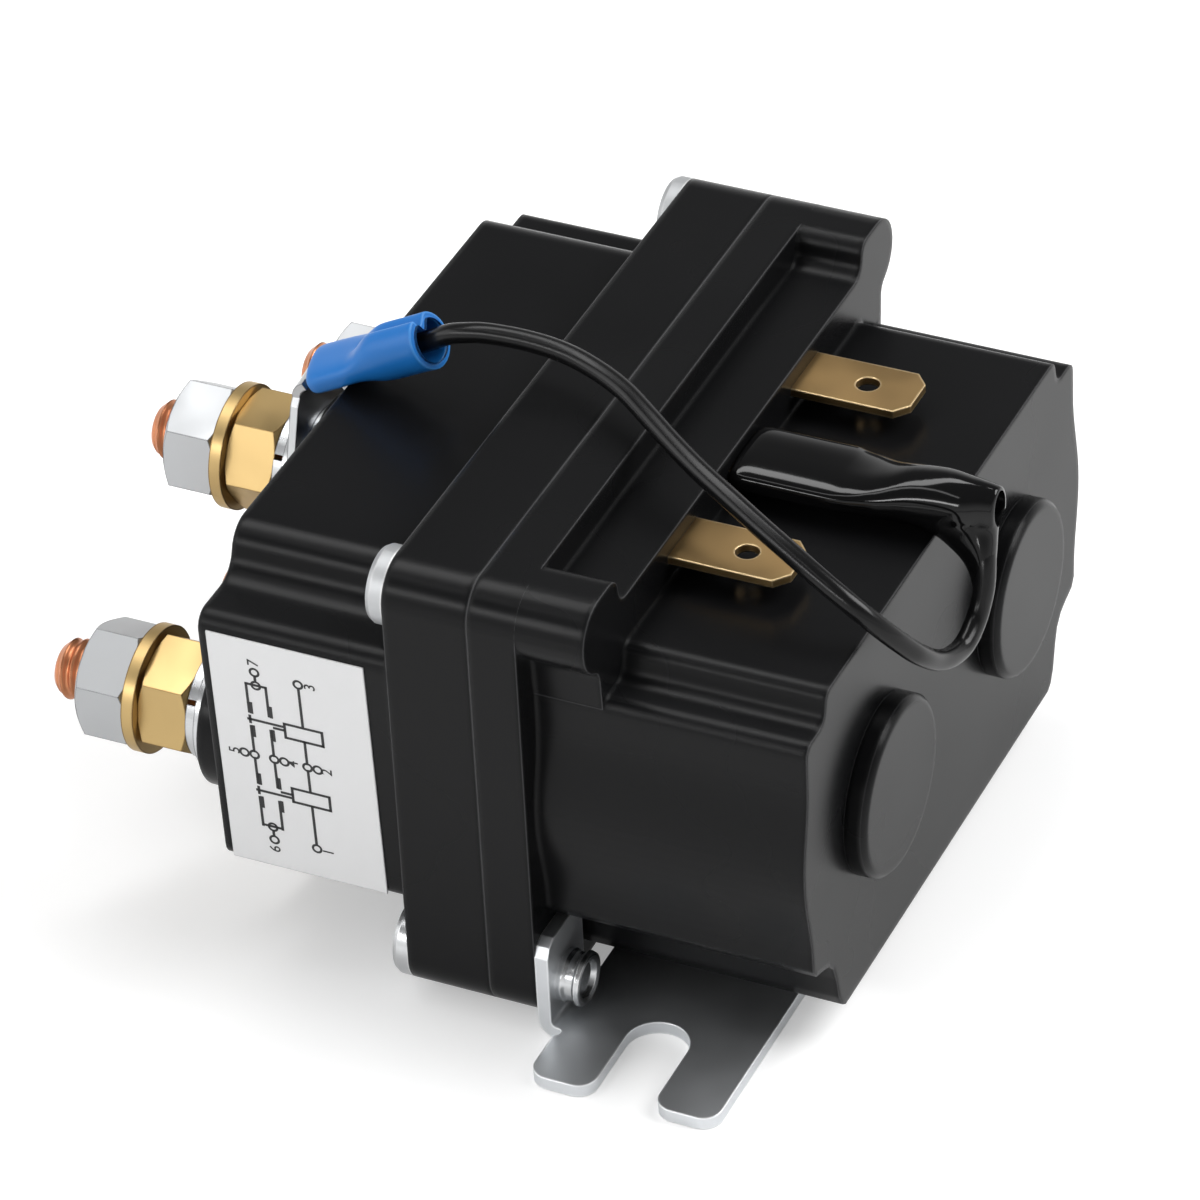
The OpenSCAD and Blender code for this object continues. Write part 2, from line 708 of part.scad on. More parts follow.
// Black boot and receptacle on the middle spade tab: the barrel lies on the housing's top,
// and its mouth is cut back below
tab_flat_w = 8.6;
tab_flat_t = 3.0;
tab_flat_l = 12.4;
tab_neck = 3.4;
tab_barrel_d = 6.0;
tab_barrel_y = -0.7;
tab_barrel_z = 0.75;
tab_mouth_d = 4.6;
tab_slant = 4.0;
tab_ease = 0.5;
tab_total = 24.6;
tab_sleeve_x = block_x + 0.2;
module tab_sleeve() {
    color(black)
        translate([tab_sleeve_x, 0, spade_z])
            hollow_sleeve(concat(
                flat_to_barrel(tab_flat_w, tab_flat_t, tab_flat_l, tab_neck, tab_barrel_d, tab_ease,
                    0, tab_barrel_y, tab_barrel_z),
                [section(end_x - tab_sleeve_x, tab_barrel_d, tab_barrel_d, 0, tab_barrel_y - 0.4,
                    tab_barrel_z + 0.05),
                 section(tab_total, tab_mouth_d, tab_mouth_d, 0, tab_barrel_y, tab_barrel_z + 0.05)]),
                tab_slant);
}
module tab_terminal() {
    color(brass)
        translate([tab_sleeve_x, 0, spade_z])
            receptacle(0.8, spade_l + 0.6, spade_w, spade_t, tab_flat_l + tab_neck + 0.2, 4.0,
                -0.6, 0.7);
}

// Three brass spade tabs with an inner leg each, in one row through the block
spade_in = pocket_x - 4.2;
module spade_tabs() {
    color(brass)
        for (i = [-1 : 1])
            translate([0, i * spade_pitch, spade_z - spade_t / 2])
                difference() {
                    linear_extrude(height = spade_t)
                        polygon([[spade_in, -spade_w / 2], [block_x + spade_l - 1.2, -spade_w / 2],
                            [block_x + spade_l, -spade_w / 2 + 1.4], [block_x + spade_l, spade_w / 2 - 1.4],
                            [block_x + spade_l - 1.2, spade_w / 2], [spade_in, spade_w / 2]]);
                    translate([block_x + spade_l - 4.9, 0, -1])
                        cylinder(h = 3, r = 1.1, $fn = 32);
                }
}

// Round wire between two points
module wire(a, b, r) {
    d = b - a;
    l = norm(d);
    translate(a)
        rotate([0, acos(d[2] / l), atan2(d[1], d[0])])
            cylinder(h = l, r = r, $fn = 16);
}

// Coil ends: outer tabs feed one coil each, the middle tab feeds both
lead_x = spade_in + 1.0;
wire_r = 0.35;
lead_slot_r = 1.0;
wind_top = coil_z + wind_r;
lead_runs = [[[-spade_pitch, spade_z - spade_t / 2], [-coil_y - 0.5, wind_top + 0.05]],
             [[spade_pitch, spade_z - spade_t / 2], [coil_y + 0.5, wind_top + 0.05]],
             [[-2.0, spade_z - spade_t / 2], [-9.0, coil_z + 10.9]],
             [[2.0, spade_z - spade_t / 2], [9.0, coil_z + 10.9]]];
module lead_paths(r, top_extra, end_extra) {
    for (q = lead_runs) {
        a = [lead_x, q[0][0], q[0][1]];
        b = [lead_x, q[1][0], q[1][1]];
        u = (b - a) / norm(b - a);
        wire(a - u * top_extra, b + u * end_extra, r);
    }
}
module coil_leads() {
    color(varnish)
        lead_paths(wire_r, -wire_r * 0.85, -0.02);
}

// Straps that carry each side stud's current round the bridge end to its rear tip
strap_in = 22.8;
strap_out = 30.8;
strap_w = 7.6;
module strap(side) {
    z0 = stud_z - strap_w / 2;
    z1 = stud_z + strap_w / 2;
    x0 = head_x;
    x1 = rear_tip_x + tip_h;
    difference() {
        scale([1, side, 1])
            union() {
                box([x0, strap_in, z0], [x0 + bar_t, strap_out, z1]);
                box([x0, strap_out - bar_t, z0], [x1 + bar_t, strap_out, z1]);
                box([x1, strap_in, z0], [x1 + bar_t, strap_out, z1]);
            }
        rod_x(x0 - 1, x0 + bar_t + 1, stud_r + 0.02, side * stud_y, stud_z);
    }
}
module strap_near() { color(copper) strap(-1); }
module strap_far() { color(copper) strap(1); }

// Rest-contact bar on the bottom stud, and working-contact bar on the top stud
module bar_bottom() {
    x1 = front_tip_x - tip_h;
    color(copper) {
        box([x1 - bar_t, -bar_y - 2.8, contact_z - 2.9], [x1, bar_y + 2.8, contact_z + 2.9]);
        box([x1 - bar_t, -4, bottom_z - 4], [x1, 4, contact_z - 2.9 + eps]);
    }
}
module bar_top() {
    x0 = rear_tip_x + tip_h;
    color(copper) {
        box([x0, -bar_y - 2.8, contact_z - 2.9], [x0 + bar_t, bar_y + 2.8, contact_z + 2.9]);
        box([x0, -4, contact_z + 2.9 - eps], [x0 + bar_t, 4, top_z + 4]);
    }
}

// Silver tips on every fixed contact
module contact_tips() {
    color(silver)
        for (side = [-1, 1]) {
            rod_x(front_tip_x - tip_h, front_tip_x, pad_r, side * stud_y, stud_z, 32);
            rod_x(front_tip_x - tip_h, front_tip_x, pad_r, side * bar_y, contact_z, 32);
            rod_x(rear_tip_x, rear_tip_x + tip_h, pad_r, side * stud_y, stud_z, 32);
            rod_x(rear_tip_x, rear_tip_x + tip_h, pad_r, side * bar_y, contact_z, 32);
        }
}

// Insulating partition with the two rod guides
part_t = 1.6;
part_half = cover_flat - 0.6;
part_low = 11.2;
part_high = cover_top - 5.2;
rod_r = 2.0;
module partition() {
    color(black)
        difference() {
            box([parting_x, -part_half, part_low], [parting_x + part_t, part_half, part_high]);
            for (y = [-coil_y, coil_y])
                rod_x(parting_x - 1, parting_x + 3, rod_r + slide_gap, y, coil_z);
        }
}

// Magnet frame: front pole plate, and a yoke of rear plate and two legs
pole_x = parting_x + part_t + 0.4;
pole_t = 2.2;
yoke_t = 2.0;
yoke_rear_x = inner_rear_x - 0.2;
leg_half = 22;
leg_out = 15.5;
plate_half = side_half - 4.4;
plate_foot = plate_half - 4;
bore_r = plunger_r + slide_gap;
module frame_plate(x, t) {
    z0 = coil_z - leg_out;
    z1 = coil_z + leg_out;
    half = [[plate_half - 3, z1], [plate_half, z1 - 2], [plate_half, z0 + 7.2],
        [plate_foot, z0 + 5], [plate_foot, z0]];
    along_x(x, x + t)
        polygon(concat(half, mirror_y(half)));
}
module pole_plate() {
    color(grey)
        difference() {
            frame_plate(pole_x, pole_t);
            for (y = [-coil_y, coil_y])
                rod_x(pole_x - 1, pole_x + 4, bore_r, y, coil_z);
            lead_paths(lead_slot_r, 1.5, 1.5);
        }
}
module yoke() {
    x0 = pole_x + pole_t;
    color(grey)
        difference() {
            union() {
                frame_plate(yoke_rear_x - yoke_t, yoke_t);
                box([x0, -leg_half, coil_z + leg_out - yoke_t], [yoke_rear_x, leg_half, coil_z + leg_out]);
                box([x0, -leg_half, coil_z - leg_out], [yoke_rear_x, leg_half, coil_z - leg_out + yoke_t]);
            }
            for (y = [-coil_y, coil_y])
                rod_x(yoke_rear_x - 4, yoke_rear_x + 1, core_neck_r, y, coil_z);
            lead_paths(lead_slot_r, 1.5, 1.5);
        }
}

// Fixed cores, riveted through the yoke's rear plate
core_neck_r = 4.0;
plunger_x = pole_x + 0.4;
plunger_end = -0.4;
core_x = plunger_end + travel + 0.2;
spring_hole_r = 2.7;
spring_hole_l = 4.4;
module core(y) {
    difference() {
        union() {
            rod_x(core_x, yoke_rear_x - yoke_t, plunger_r + slide_gap - 0.02, y, coil_z);
            rod_x(yoke_rear_x - yoke_t - eps, yoke_rear_x, core_neck_r, y, coil_z);
        }
        rod_x(core_x - 1, core_x + spring_hole_l, spring_hole_r, y, coil_z);
    }
}
module core_near() { color(grey) core(-coil_y); }
module core_far() { color(grey) core(coil_y); }

// Bobbins and windings
bob_x0 = pole_x + pole_t;
bob_x1 = yoke_rear_x - yoke_t;
bob_flange = 1.2;
bob_tube_r = bore_r + 0.9;
module bobbin(y) {
    difference() {
        union() {
            rod_x(bob_x0, bob_x1, bob_tube_r, y, coil_z);
            for (x = [bob_x0, bob_x1 - bob_flange])
                rod_x(x, x + bob_flange, wind_r + 0.5, y, coil_z);
        }
        rod_x(bob_x0 - 1, bob_x1 + 1, bore_r, y, coil_z);
        lead_paths(lead_slot_r, 1.5, 1.5);
    }
}
module bobbin_near() { color(nylon) bobbin(-coil_y); }
module bobbin_far() { color(nylon) bobbin(coil_y); }

module winding(y) {
    ring_x(bob_x0 + bob_flange, bob_x1 - bob_flange, wind_r, bob_tube_r, y, coil_z);
}
module winding_near() { color(varnish) winding(-coil_y); }
module winding_far() { color(varnish) winding(coil_y); }

// Moving plungers with a socket for the rod and a seat for the return spring
rod_in = 4.0;
module plunger(y) {
    difference() {
        rod_x(plunger_x, plunger_end, plunger_r, y, coil_z);
        rod_x(plunger_x - 1, plunger_x + rod_in, rod_r + 0.02, y, coil_z);
        rod_x(plunger_end - spring_hole_l, plunger_end + 1, spring_hole_r, y, coil_z);
    }
}
module plunger_near() { color(grey) plunger(-coil_y); }
module plunger_far() { color(grey) plunger(coil_y); }

// Push rods: nylon rods with a collar behind the contact spring
rod_x0 = bridge_x - 2.4;
spring_l = 5.6;
collar_rod_x = bridge_x + bridge_t + spring_l;
module push_rod(y) {
    rod_x(rod_x0, plunger_x + rod_in, rod_r, y, coil_z, 32);
    rod_x(collar_rod_x, collar_rod_x + 1.2, 3.6, y, coil_z, 32);
}
module rod_near() { color(nylon) push_rod(-coil_y); }
module rod_far() { color(nylon) push_rod(coil_y); }

// Moving contact bridges, their tips, and the clip in front of each
bridge_in = 3.9;
bridge_out = 28.3;
bridge_half = 3.0;
module bridge(side) {
    difference() {
        scale([1, side, 1])
            box([bridge_x + 0.3, bridge_in, contact_z - bridge_half],
                [bridge_x + bridge_t - 0.3, bridge_out, contact_z + bridge_half]);
        rod_x(bridge_x - 1, bridge_x + 4, rod_r + 0.03, side * coil_y, coil_z);
    }
}
module bridge_near() { color(copper) bridge(-1); }
module bridge_far() { color(copper) bridge(1); }

module bridge_tips(side) {
    for (p = [[stud_y, stud_z], [bar_y, contact_z]]) {
        rod_x(bridge_x, bridge_x + 0.3, pad_r - 0.1, side * p[0], p[1], 32);
        rod_x(bridge_x + bridge_t - 0.3, bridge_x + bridge_t, pad_r - 0.1, side * p[0], p[1], 32);
    }
}
module bridge_tips_near() { color(silver) bridge_tips(-1); }
module bridge_tips_far() { color(silver) bridge_tips(1); }

module clip(y) {
    ring_x(bridge_x + 0.3 - 0.7, bridge_x + 0.3, 3.2, rod_r + 0.01, y, coil_z);
}
module clip_near() { color(zinc) clip(-coil_y); }
module clip_far() { color(zinc) clip(coil_y); }

// Coil spring along X as a swept tube, ends at x0 and x1
function coil_points(x0, x1, r, turns, n, y) =
    [for (i = [0 : turns * n])
        [x0 + (x1 - x0) * i / (turns * n), y + r * cos(360 * i / n), coil_z + r * sin(360 * i / n)]];

// Unit vector
function unit(v) = v / norm(v);

// Tangent of a path at point i
function tangent(p, i) = i == 0 ? unit(p[1] - p[0])
    : i == len(p) - 1 ? unit(p[i] - p[i - 1])
    : unit(p[i + 1] - p[i - 1]);

// One ring of points round a path point, square to the tangent
function ring_at(c, t, ref, r, n) =
    let (u = unit(cross(t, ref)), v = cross(t, u))
    [for (k = [0 : n - 1]) c + r * (cos(360 * k / n) * u + sin(360 * k / n) * v)];

// Side faces between rings, and one fan on each end
function tube_faces(m, n) = concat(
    [for (i = [0 : m - 2]) for (k = [0 : n - 1])
        [i * n + k, (i + 1) * n + (k + 1) % n, i * n + (k + 1) % n]],
    [for (i = [0 : m - 2]) for (k = [0 : n - 1])
        [i * n + k, (i + 1) * n + k, (i + 1) * n + (k + 1) % n]],
    [[for (k = [0 : n - 1]) k]],
    [[for (k = [n - 1 : -1 : 0]) (m - 1) * n + k]]);

// Tube along a path; ref is a direction the path never runs along
module tube(p, r, n, ref) {
    points = [for (i = [0 : len(p) - 1]) each ring_at(p[i], tangent(p, i), ref, r, n)];
    polyhedron(points = points, faces = tube_faces(len(p), n), convexity = 8);
}

module contact_spring(y) {
    tube(coil_points(bridge_x + bridge_t - 0.3 + 0.32, collar_rod_x - 0.32, 2.9, 3.5, 12, y), 0.3, 6, [1, 0, 0]);
}
module contact_spring_near() { color(grey) contact_spring(-coil_y); }
module contact_spring_far() { color(grey) contact_spring(coil_y); }

module return_spring(y) {
    tube(coil_points(plunger_end - spring_hole_l + 0.27, core_x + spring_hole_l - 0.27,
        2.1, 5, 12, y), 0.25, 6, [1, 0, 0]);
}
module return_spring_near() { color(grey) return_spring(-coil_y); }
module return_spring_far() { color(grey) return_spring(coil_y); }

// Jumper lead from the blue sleeve, over the flanges, down behind the near tab and
// back up into the black sleeve: hand-chosen points in millimetres
lead_r = 0.98;
lead_sides = 8;
lead_path = [[-38.1, -2.3, 46.8], [-35.9, -2.5, 48.0], [-33.9, -2.6, 49.1],
    [-31.9, -2.8, 50.4], [-30.1, -2.8, 51.0], [-28.0, -2.6, 51.3],
    [-24.2, -2.4, 51.3], [-20.4, -2.7, 51.1], [-16.7, -3.8, 50.8],
    [-13.3, -5.5, 50.5], [-10.0, -7.8, 50.1], [-6.6, -10.2, 49.6],
    [-3.2, -12.4, 49.1], [0.4, -14.4, 48.5], [4.0, -16.2, 47.7],
    [7.6, -17.8, 46.8], [11.0, -19.0, 45.6], [14.2, -19.6, 44.0],
    [16.6, -18.9, 41.6], [18.2, -17.1, 38.8], [18.8, -15.6, 37.1],
    [19.1, -13.2, 35.0], [19.4, -11.1, 33.8], [19.6, -8.9, 33.2],
    [19.8, -7.4, 33.5], [19.9, -5.9, 34.3], [20.0, -5.0, 35.4],
    [20.1, -4.2, 37.1], [19.9, -3.4, 38.9], [19.5, -2.5, 40.3],
    [18.7, -1.6, 41.6], [17.4, -0.9, 42.4], [15.8, -0.6, 42.8], [12.1, -0.6, 42.8]];
module jumper_lead() {
    color(black)
        tube(lead_path, lead_r, lead_sides, [0.3, 1, -0.35]);
}

bracket();
front_cover();
coil_housing();
rear_plugs();
label();
rivets_upper();
rivets_lower();
stud_near();
stud_far();
stud_top();
stud_bottom();
outer_nuts();
brass_washers();
inner_nuts();
spring_washers();
flat_washers();
ring_lug();
lug_sleeve();
lug_terminal();
tab_sleeve();
tab_terminal();
jumper_lead();
spade_tabs();
coil_leads();
strap_near();
strap_far();
bar_top();
bar_bottom();
contact_tips();
partition();
pole_plate();
yoke();
core_near();
core_far();
bobbin_near();
bobbin_far();
winding_near();
winding_far();
plunger_near();
plunger_far();
rod_near();
rod_far();
bridge_near();
bridge_far();
bridge_tips_near();
bridge_tips_far();
clip_near();
clip_far();
contact_spring_near();
contact_spring_far();
return_spring_near();
return_spring_far();
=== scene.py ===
# Twin-coil reversing contactor: black moulded housing, copper studs, zinc bracket
import bpy
import bmesh
import math
from mathutils import Matrix, Vector


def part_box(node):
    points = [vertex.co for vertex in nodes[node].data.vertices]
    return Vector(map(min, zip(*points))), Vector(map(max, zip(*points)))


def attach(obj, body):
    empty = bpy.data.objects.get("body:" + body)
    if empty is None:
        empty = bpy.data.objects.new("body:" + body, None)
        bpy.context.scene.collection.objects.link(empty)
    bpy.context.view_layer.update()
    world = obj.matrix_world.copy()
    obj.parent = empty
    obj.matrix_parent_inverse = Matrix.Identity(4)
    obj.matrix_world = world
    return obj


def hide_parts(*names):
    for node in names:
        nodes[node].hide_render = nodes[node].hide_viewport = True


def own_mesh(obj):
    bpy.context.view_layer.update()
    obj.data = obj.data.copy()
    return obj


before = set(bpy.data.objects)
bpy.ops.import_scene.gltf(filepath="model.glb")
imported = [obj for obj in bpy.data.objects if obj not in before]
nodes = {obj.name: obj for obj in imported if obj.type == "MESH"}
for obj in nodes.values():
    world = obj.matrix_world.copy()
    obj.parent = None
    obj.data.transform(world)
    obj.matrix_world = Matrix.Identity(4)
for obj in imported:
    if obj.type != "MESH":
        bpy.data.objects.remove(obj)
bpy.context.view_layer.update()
MM = 0.001


def in_scene(name, data):
    """A new object that holds data, linked into the scene."""
    made = bpy.data.objects.new(name, data)
    bpy.context.scene.collection.objects.link(made)
    return made


# camera: its three directions, place and lens were fitted to the photo's straight edges
CAMERA_RIGHT = (0.91045841, 0.4113095, -0.0434739)
CAMERA_UP = (-0.21285959, 0.55609389, 0.80339927)
CAMERA_BACK = (0.35462132, -0.72220778, 0.59385153)
CAMERA_PLACE = (0.210358, -0.468354, 0.407231)
CAMERA_LENS = 212.49


def place_camera():
    data = bpy.data.cameras.new("photo_camera")
    data.sensor_width = 36.0
    data.lens = CAMERA_LENS
    data.clip_start = 0.05
    data.clip_end = 20.0
    camera = in_scene("photo_camera", data)
    turn = Matrix((CAMERA_RIGHT, CAMERA_UP, CAMERA_BACK)).transposed().to_4x4()
    camera.matrix_world = Matrix.Translation(CAMERA_PLACE) @ turn
    bpy.context.scene.camera = camera


place_camera()


# mesh helpers
def add_object(name, mesh, material):
    """A new piece of one finish, riding on the frame body."""
    piece = in_scene(name, mesh)
    mesh.materials.clear()
    mesh.materials.append(material)
    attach(piece, "frame")
    return piece


def mesh_from(name, points, faces):
    """A mesh from points in millimetres, with its faces turned outwards."""
    mesh = bpy.data.meshes.new(name)
    mesh.from_pydata([Vector(p) * MM for p in points], [], faces)
    mesh.validate()
    work = bmesh.new()
    work.from_mesh(mesh)
    bmesh.ops.recalc_face_normals(work, faces=work.faces)
    work.to_mesh(mesh)
    work.free()
    return mesh


def joined_rings(name, rings):
    """A closed skin over rings that all have the same number of points."""
    sides = len(rings[0])
    points = [p for ring in rings for p in ring]
    faces = [tuple(range(sides))]
    for i in range(len(rings) - 1):
        for k in range(sides):
            j = (k + 1) % sides
            faces.append((i * sides + k, i * sides + j, (i + 1) * sides + j, (i + 1) * sides + k))
    faces.append(tuple((len(rings) - 1) * sides + k for k in range(sides)))
    return mesh_from(name, points, faces)


def smooth(mesh, degrees):
    """Shades a mesh smooth, but for edges that turn by more than degrees."""
    mesh.polygons.foreach_set("use_smooth", [True] * len(mesh.polygons))
    mesh.set_sharp_from_angle(angle=math.radians(degrees))


def finished_mesh(scratch):
    """The mesh that a scratch object ends with, after which the object is removed."""
    bpy.context.view_layer.update()
    done = bpy.data.meshes.new_from_object(scratch.evaluated_get(
        bpy.context.evaluated_depsgraph_get()))
    bpy.data.objects.remove(scratch)
    return done


def with_modifier(mesh, kind, **values):
    """The mesh that one modifier makes of a mesh."""
    scratch = in_scene("worked", mesh)
    modifier = scratch.modifiers.new("worked", kind)
    for label, value in values.items():
        setattr(modifier, label, value)
    return finished_mesh(scratch)


def spline_points(route, steps):
    """Smooth points through a route, with steps points between two of its own."""
    points = [Vector(p) for p in route]
    ends = [points[0] * 2 - points[1]] + points + [points[-1] * 2 - points[-2]]
    out = []
    for i in range(1, len(ends) - 2):
        a, b, c, d = ends[i - 1], ends[i], ends[i + 1], ends[i + 2]
        for k in range(steps):
            t = k / steps
            out.append(0.5 * (2 * b + (c - a) * t + (2 * a - 5 * b + 4 * c - d) * t * t
                              + (3 * b - a - 3 * c + d) * t * t * t))
    out.append(points[-1])
    return out


# any direction that isn't along the route's first step
START_ACROSS = Vector((0, 1, 0.3))


def swept_tube(name, path, radius, sides):
    """A closed tube of one radius along path, in millimetres."""
    turns = [2 * math.pi * k / sides for k in range(sides)]
    rings = []
    side = None
    for i, point in enumerate(path):
        before = path[max(i - 1, 0)]
        after = path[min(i + 1, len(path) - 1)]
        along = (after - before).normalized()
        if side is None:
            side = along.cross(START_ACROSS).normalized()
        side = (side - along * side.dot(along)).normalized()
        other = along.cross(side)
        rings.append([point + radius * (math.cos(turn) * side + math.sin(turn) * other)
                      for turn in turns])
    return joined_rings(name, rings)


# shader helpers
def math_node(tree, operation, first, second):
    """A Math node whose two inputs are each a number or the output of another node."""
    node = tree.nodes.new("ShaderNodeMath")
    node.operation = operation
    for socket, value in zip(node.inputs, (first, second)):
        if isinstance(value, float):
            socket.default_value = value
        else:
            tree.links.new(value, socket)
    return node


def mixed_shader(tree, factor, first, second):
    """The shader that goes from first, where factor is 0, to second, where it is 1."""
    node = tree.nodes.new("ShaderNodeMixShader")
    for socket, source in zip(node.inputs, (factor, first, second)):
        tree.links.new(source, socket)
    return node.outputs[0]


def new_group(name, inputs, outputs):
    group = bpy.data.node_groups.new(name, "ShaderNodeTree")
    for label, kind, value in inputs:
        item = group.interface.new_socket(name=label, in_out="INPUT", socket_type=kind)
        item.default_value = value
    for label, kind in outputs:
        group.interface.new_socket(name=label, in_out="OUTPUT", socket_type=kind)
    source = group.nodes.new("NodeGroupInput")
    target = group.nodes.new("NodeGroupOutput")
    return group, source, target


# shared effects
EDGE_SAMPLES = 6


def build_edge_light():
    """A mask that is high along outer edges, found from inside the piece, and a rounding normal."""
    group, source, target = new_group(
        "edge_light",
        [("Radius", "NodeSocketFloat", 0.0003), ("Contrast", "NodeSocketFloat", 4.0)],
        [("Mask", "NodeSocketFloat"), ("Normal", "NodeSocketVector")])
    links = group.links
    bevel = group.nodes.new("ShaderNodeBevel")
    bevel.samples = EDGE_SAMPLES
    links.new(source.outputs["Radius"], bevel.inputs["Radius"])
    links.new(bevel.outputs["Normal"], target.inputs["Normal"])
    inner_shade = group.nodes.new("ShaderNodeAmbientOcclusion")
    inner_shade.samples = EDGE_SAMPLES
    inner_shade.inside = True
    inner_shade.only_local = True
    links.new(source.outputs["Radius"], inner_shade.inputs["Distance"])
    shut_in = math_node(group, "SUBTRACT", 1.0, inner_shade.outputs["AO"])
    mask = math_node(group, "MULTIPLY", shut_in.outputs[0], source.outputs["Contrast"])
    mask.use_clamp = True
    links.new(mask.outputs[0], target.inputs["Mask"])
    return group


def build_fine_grain():
    """Noise in object space: a height for bump and a slow cloud for roughness or colour."""
    group, source, target = new_group(
        "fine_grain",
        [("Grain per metre", "NodeSocketFloat", 4000.0), ("Cloud per metre", "NodeSocketFloat", 60.0)],
        [("Height", "NodeSocketFloat"), ("Cloud", "NodeSocketFloat")])
    links = group.links
    place = group.nodes.new("ShaderNodeTexCoord")
    for label, scale, detail in (("Height", "Grain per metre", 3.0), ("Cloud", "Cloud per metre", 2.0)):
        noise = group.nodes.new("ShaderNodeTexNoise")
        noise.inputs["Detail"].default_value = detail
        links.new(place.outputs["Object"], noise.inputs["Vector"])
        links.new(source.outputs[scale], noise.inputs["Scale"])
        links.new(noise.outputs["Fac"], target.inputs[label])
    return group


def build_drawn_lines():
    """Fine lines drawn along one direction, as on rolled or turned metal."""
    group, source, target = new_group(
        "drawn_lines",
        [("Stretch", "NodeSocketVector", (60.0, 2500.0, 2500.0))],
        [("Height", "NodeSocketFloat")])
    links = group.links
    place = group.nodes.new("ShaderNodeTexCoord")
    stretched = group.nodes.new("ShaderNodeVectorMath")
    stretched.operation = "MULTIPLY"
    links.new(place.outputs["Object"], stretched.inputs[0])
    links.new(source.outputs["Stretch"], stretched.inputs[1])
    noise = group.nodes.new("ShaderNodeTexNoise")
    noise.inputs["Scale"].default_value = 1.0
    noise.inputs["Detail"].default_value = 4.0
    links.new(stretched.outputs["Vector"], noise.inputs["Vector"])
    links.new(noise.outputs["Fac"], target.inputs["Height"])
    return group


EDGE_LIGHT = build_edge_light()
FINE_GRAIN = build_fine_grain()
DRAWN_LINES = build_drawn_lines()

# the colour sockets of a Mix node, which share their names with its other sockets
MIX_FIRST, MIX_SECOND, MIX_RESULT = 6, 7, 2
# the part of the noise's range that its clouds mostly fill
CLOUD_LOW, CLOUD_HIGH = 0.3, 0.7
TONE_LOW, TONE_HIGH = 0.35, 0.65
DARK_TONE = 0.92


# materials
class Finish:
    """A material with one Principled shader and the shared effects placed around it."""

    def __init__(self, name, color, metallic):
        self.material = bpy.data.materials.new(name)
        self.material.use_nodes = True
        self.tree = self.material.node_tree
        self.shader = self.tree.nodes["Principled BSDF"]
        self.color = color
        self.normal = None
        self.set("Base Color", (*color, 1.0))
        self.set("Metallic", metallic)

    def set(self, socket, value):
        self.shader.inputs[socket].default_value = value

    def link(self, a, b):
        self.tree.links.new(a, b)

    def group(self, group, **values):
        """Places a shared effect; an underscore stands for a space in its inputs' names."""
        node = self.tree.nodes.new("ShaderNodeGroup")
        node.node_tree = group
        for label, value in values.items():
            node.inputs[label.replace("_", " ")].default_value = value
        return node

    def shape(self, normal):
        """Passes a normal on to the shader and to what is added after it."""
        self.normal = normal
        self.link(normal, self.shader.inputs["Normal"])

    def two_tone(self, cloud):
        """Lets the colour drift a little darker in places."""
        node = self.tree.nodes.new("ShaderNodeValToRGB")
        dark, full = node.color_ramp.elements
        dark.position = TONE_LOW
        dark.color = (*(c * DARK_TONE for c in self.color), 1.0)
        full.position = TONE_HIGH
        full.color = (*self.color, 1.0)
        self.link(cloud, node.inputs["Fac"])
        self.link(node.outputs["Color"], self.shader.inputs["Base Color"])

    def edges(self, width, contrast, color, amount, soft=None):
        """Paints color as a highlight line or a shade line along the outer edges over width, and rounds
        edges in shading over width or over soft.
        """
        node = self.group(EDGE_LIGHT, Radius=width * MM, Contrast=contrast)
        # painted highlight or painted shade: the edge mask mixes the base colour towards color
        mask = math_node(self.tree, "MULTIPLY", node.outputs["Mask"], amount)
        mix = self.tree.nodes.new("ShaderNodeMix")
        mix.data_type = "RGBA"
        self.link(mask.outputs[0], mix.inputs["Factor"])
        base = self.shader.inputs["Base Color"]
        if base.is_linked:
            self.link(base.links[0].from_socket, mix.inputs[MIX_FIRST])
        else:
            mix.inputs[MIX_FIRST].default_value = (*self.color, 1.0)
        mix.inputs[MIX_SECOND].default_value = (*color, 1.0)
        self.link(mix.outputs[MIX_RESULT], base)
        if soft is not None:
            node = self.group(EDGE_LIGHT, Radius=soft * MM)
        self.shape(node.outputs["Normal"])

    def bump(self, height, depth, strength=1.0):
        node = self.tree.nodes.new("ShaderNodeBump")
        node.inputs["Distance"].default_value = depth * MM
        node.inputs["Strength"].default_value = strength
        self.link(height, node.inputs["Height"])
        if self.normal is not None:
            self.link(self.normal, node.inputs["Normal"])
        self.shape(node.outputs["Normal"])

    def cloudy(self, cloud, low, high):
        """Roughness that drifts between low and high over the surface."""
        node = self.tree.nodes.new("ShaderNodeMapRange")
        node.inputs["From Min"].default_value = CLOUD_LOW
        node.inputs["From Max"].default_value = CLOUD_HIGH
        node.inputs["To Min"].default_value = low
        node.inputs["To Max"].default_value = high
        self.link(cloud, node.inputs["Value"])
        self.link(node.outputs["Result"], self.shader.inputs["Roughness"])


def black_moulding():
    """The housing's plastic: fine mould grain, a painted highlight line on edges, softly rounded
    corners.
    """
    f = Finish("black_moulding", (0.0050, 0.0051, 0.0055), 0.0)
    grain = f.group(FINE_GRAIN, Grain_per_metre=5200.0, Cloud_per_metre=45.0)
    # painted highlight: a pale grey line along the outer edges
    f.edges(width=0.14, contrast=1.8, color=(0.13, 0.13, 0.135), amount=0.6, soft=0.8)
    f.bump(grain.outputs["Height"], depth=0.004, strength=0.5)
    f.cloudy(grain.outputs["Cloud"], low=0.23, high=0.29)
    f.set("Specular IOR Level", 0.14)
    return f.material


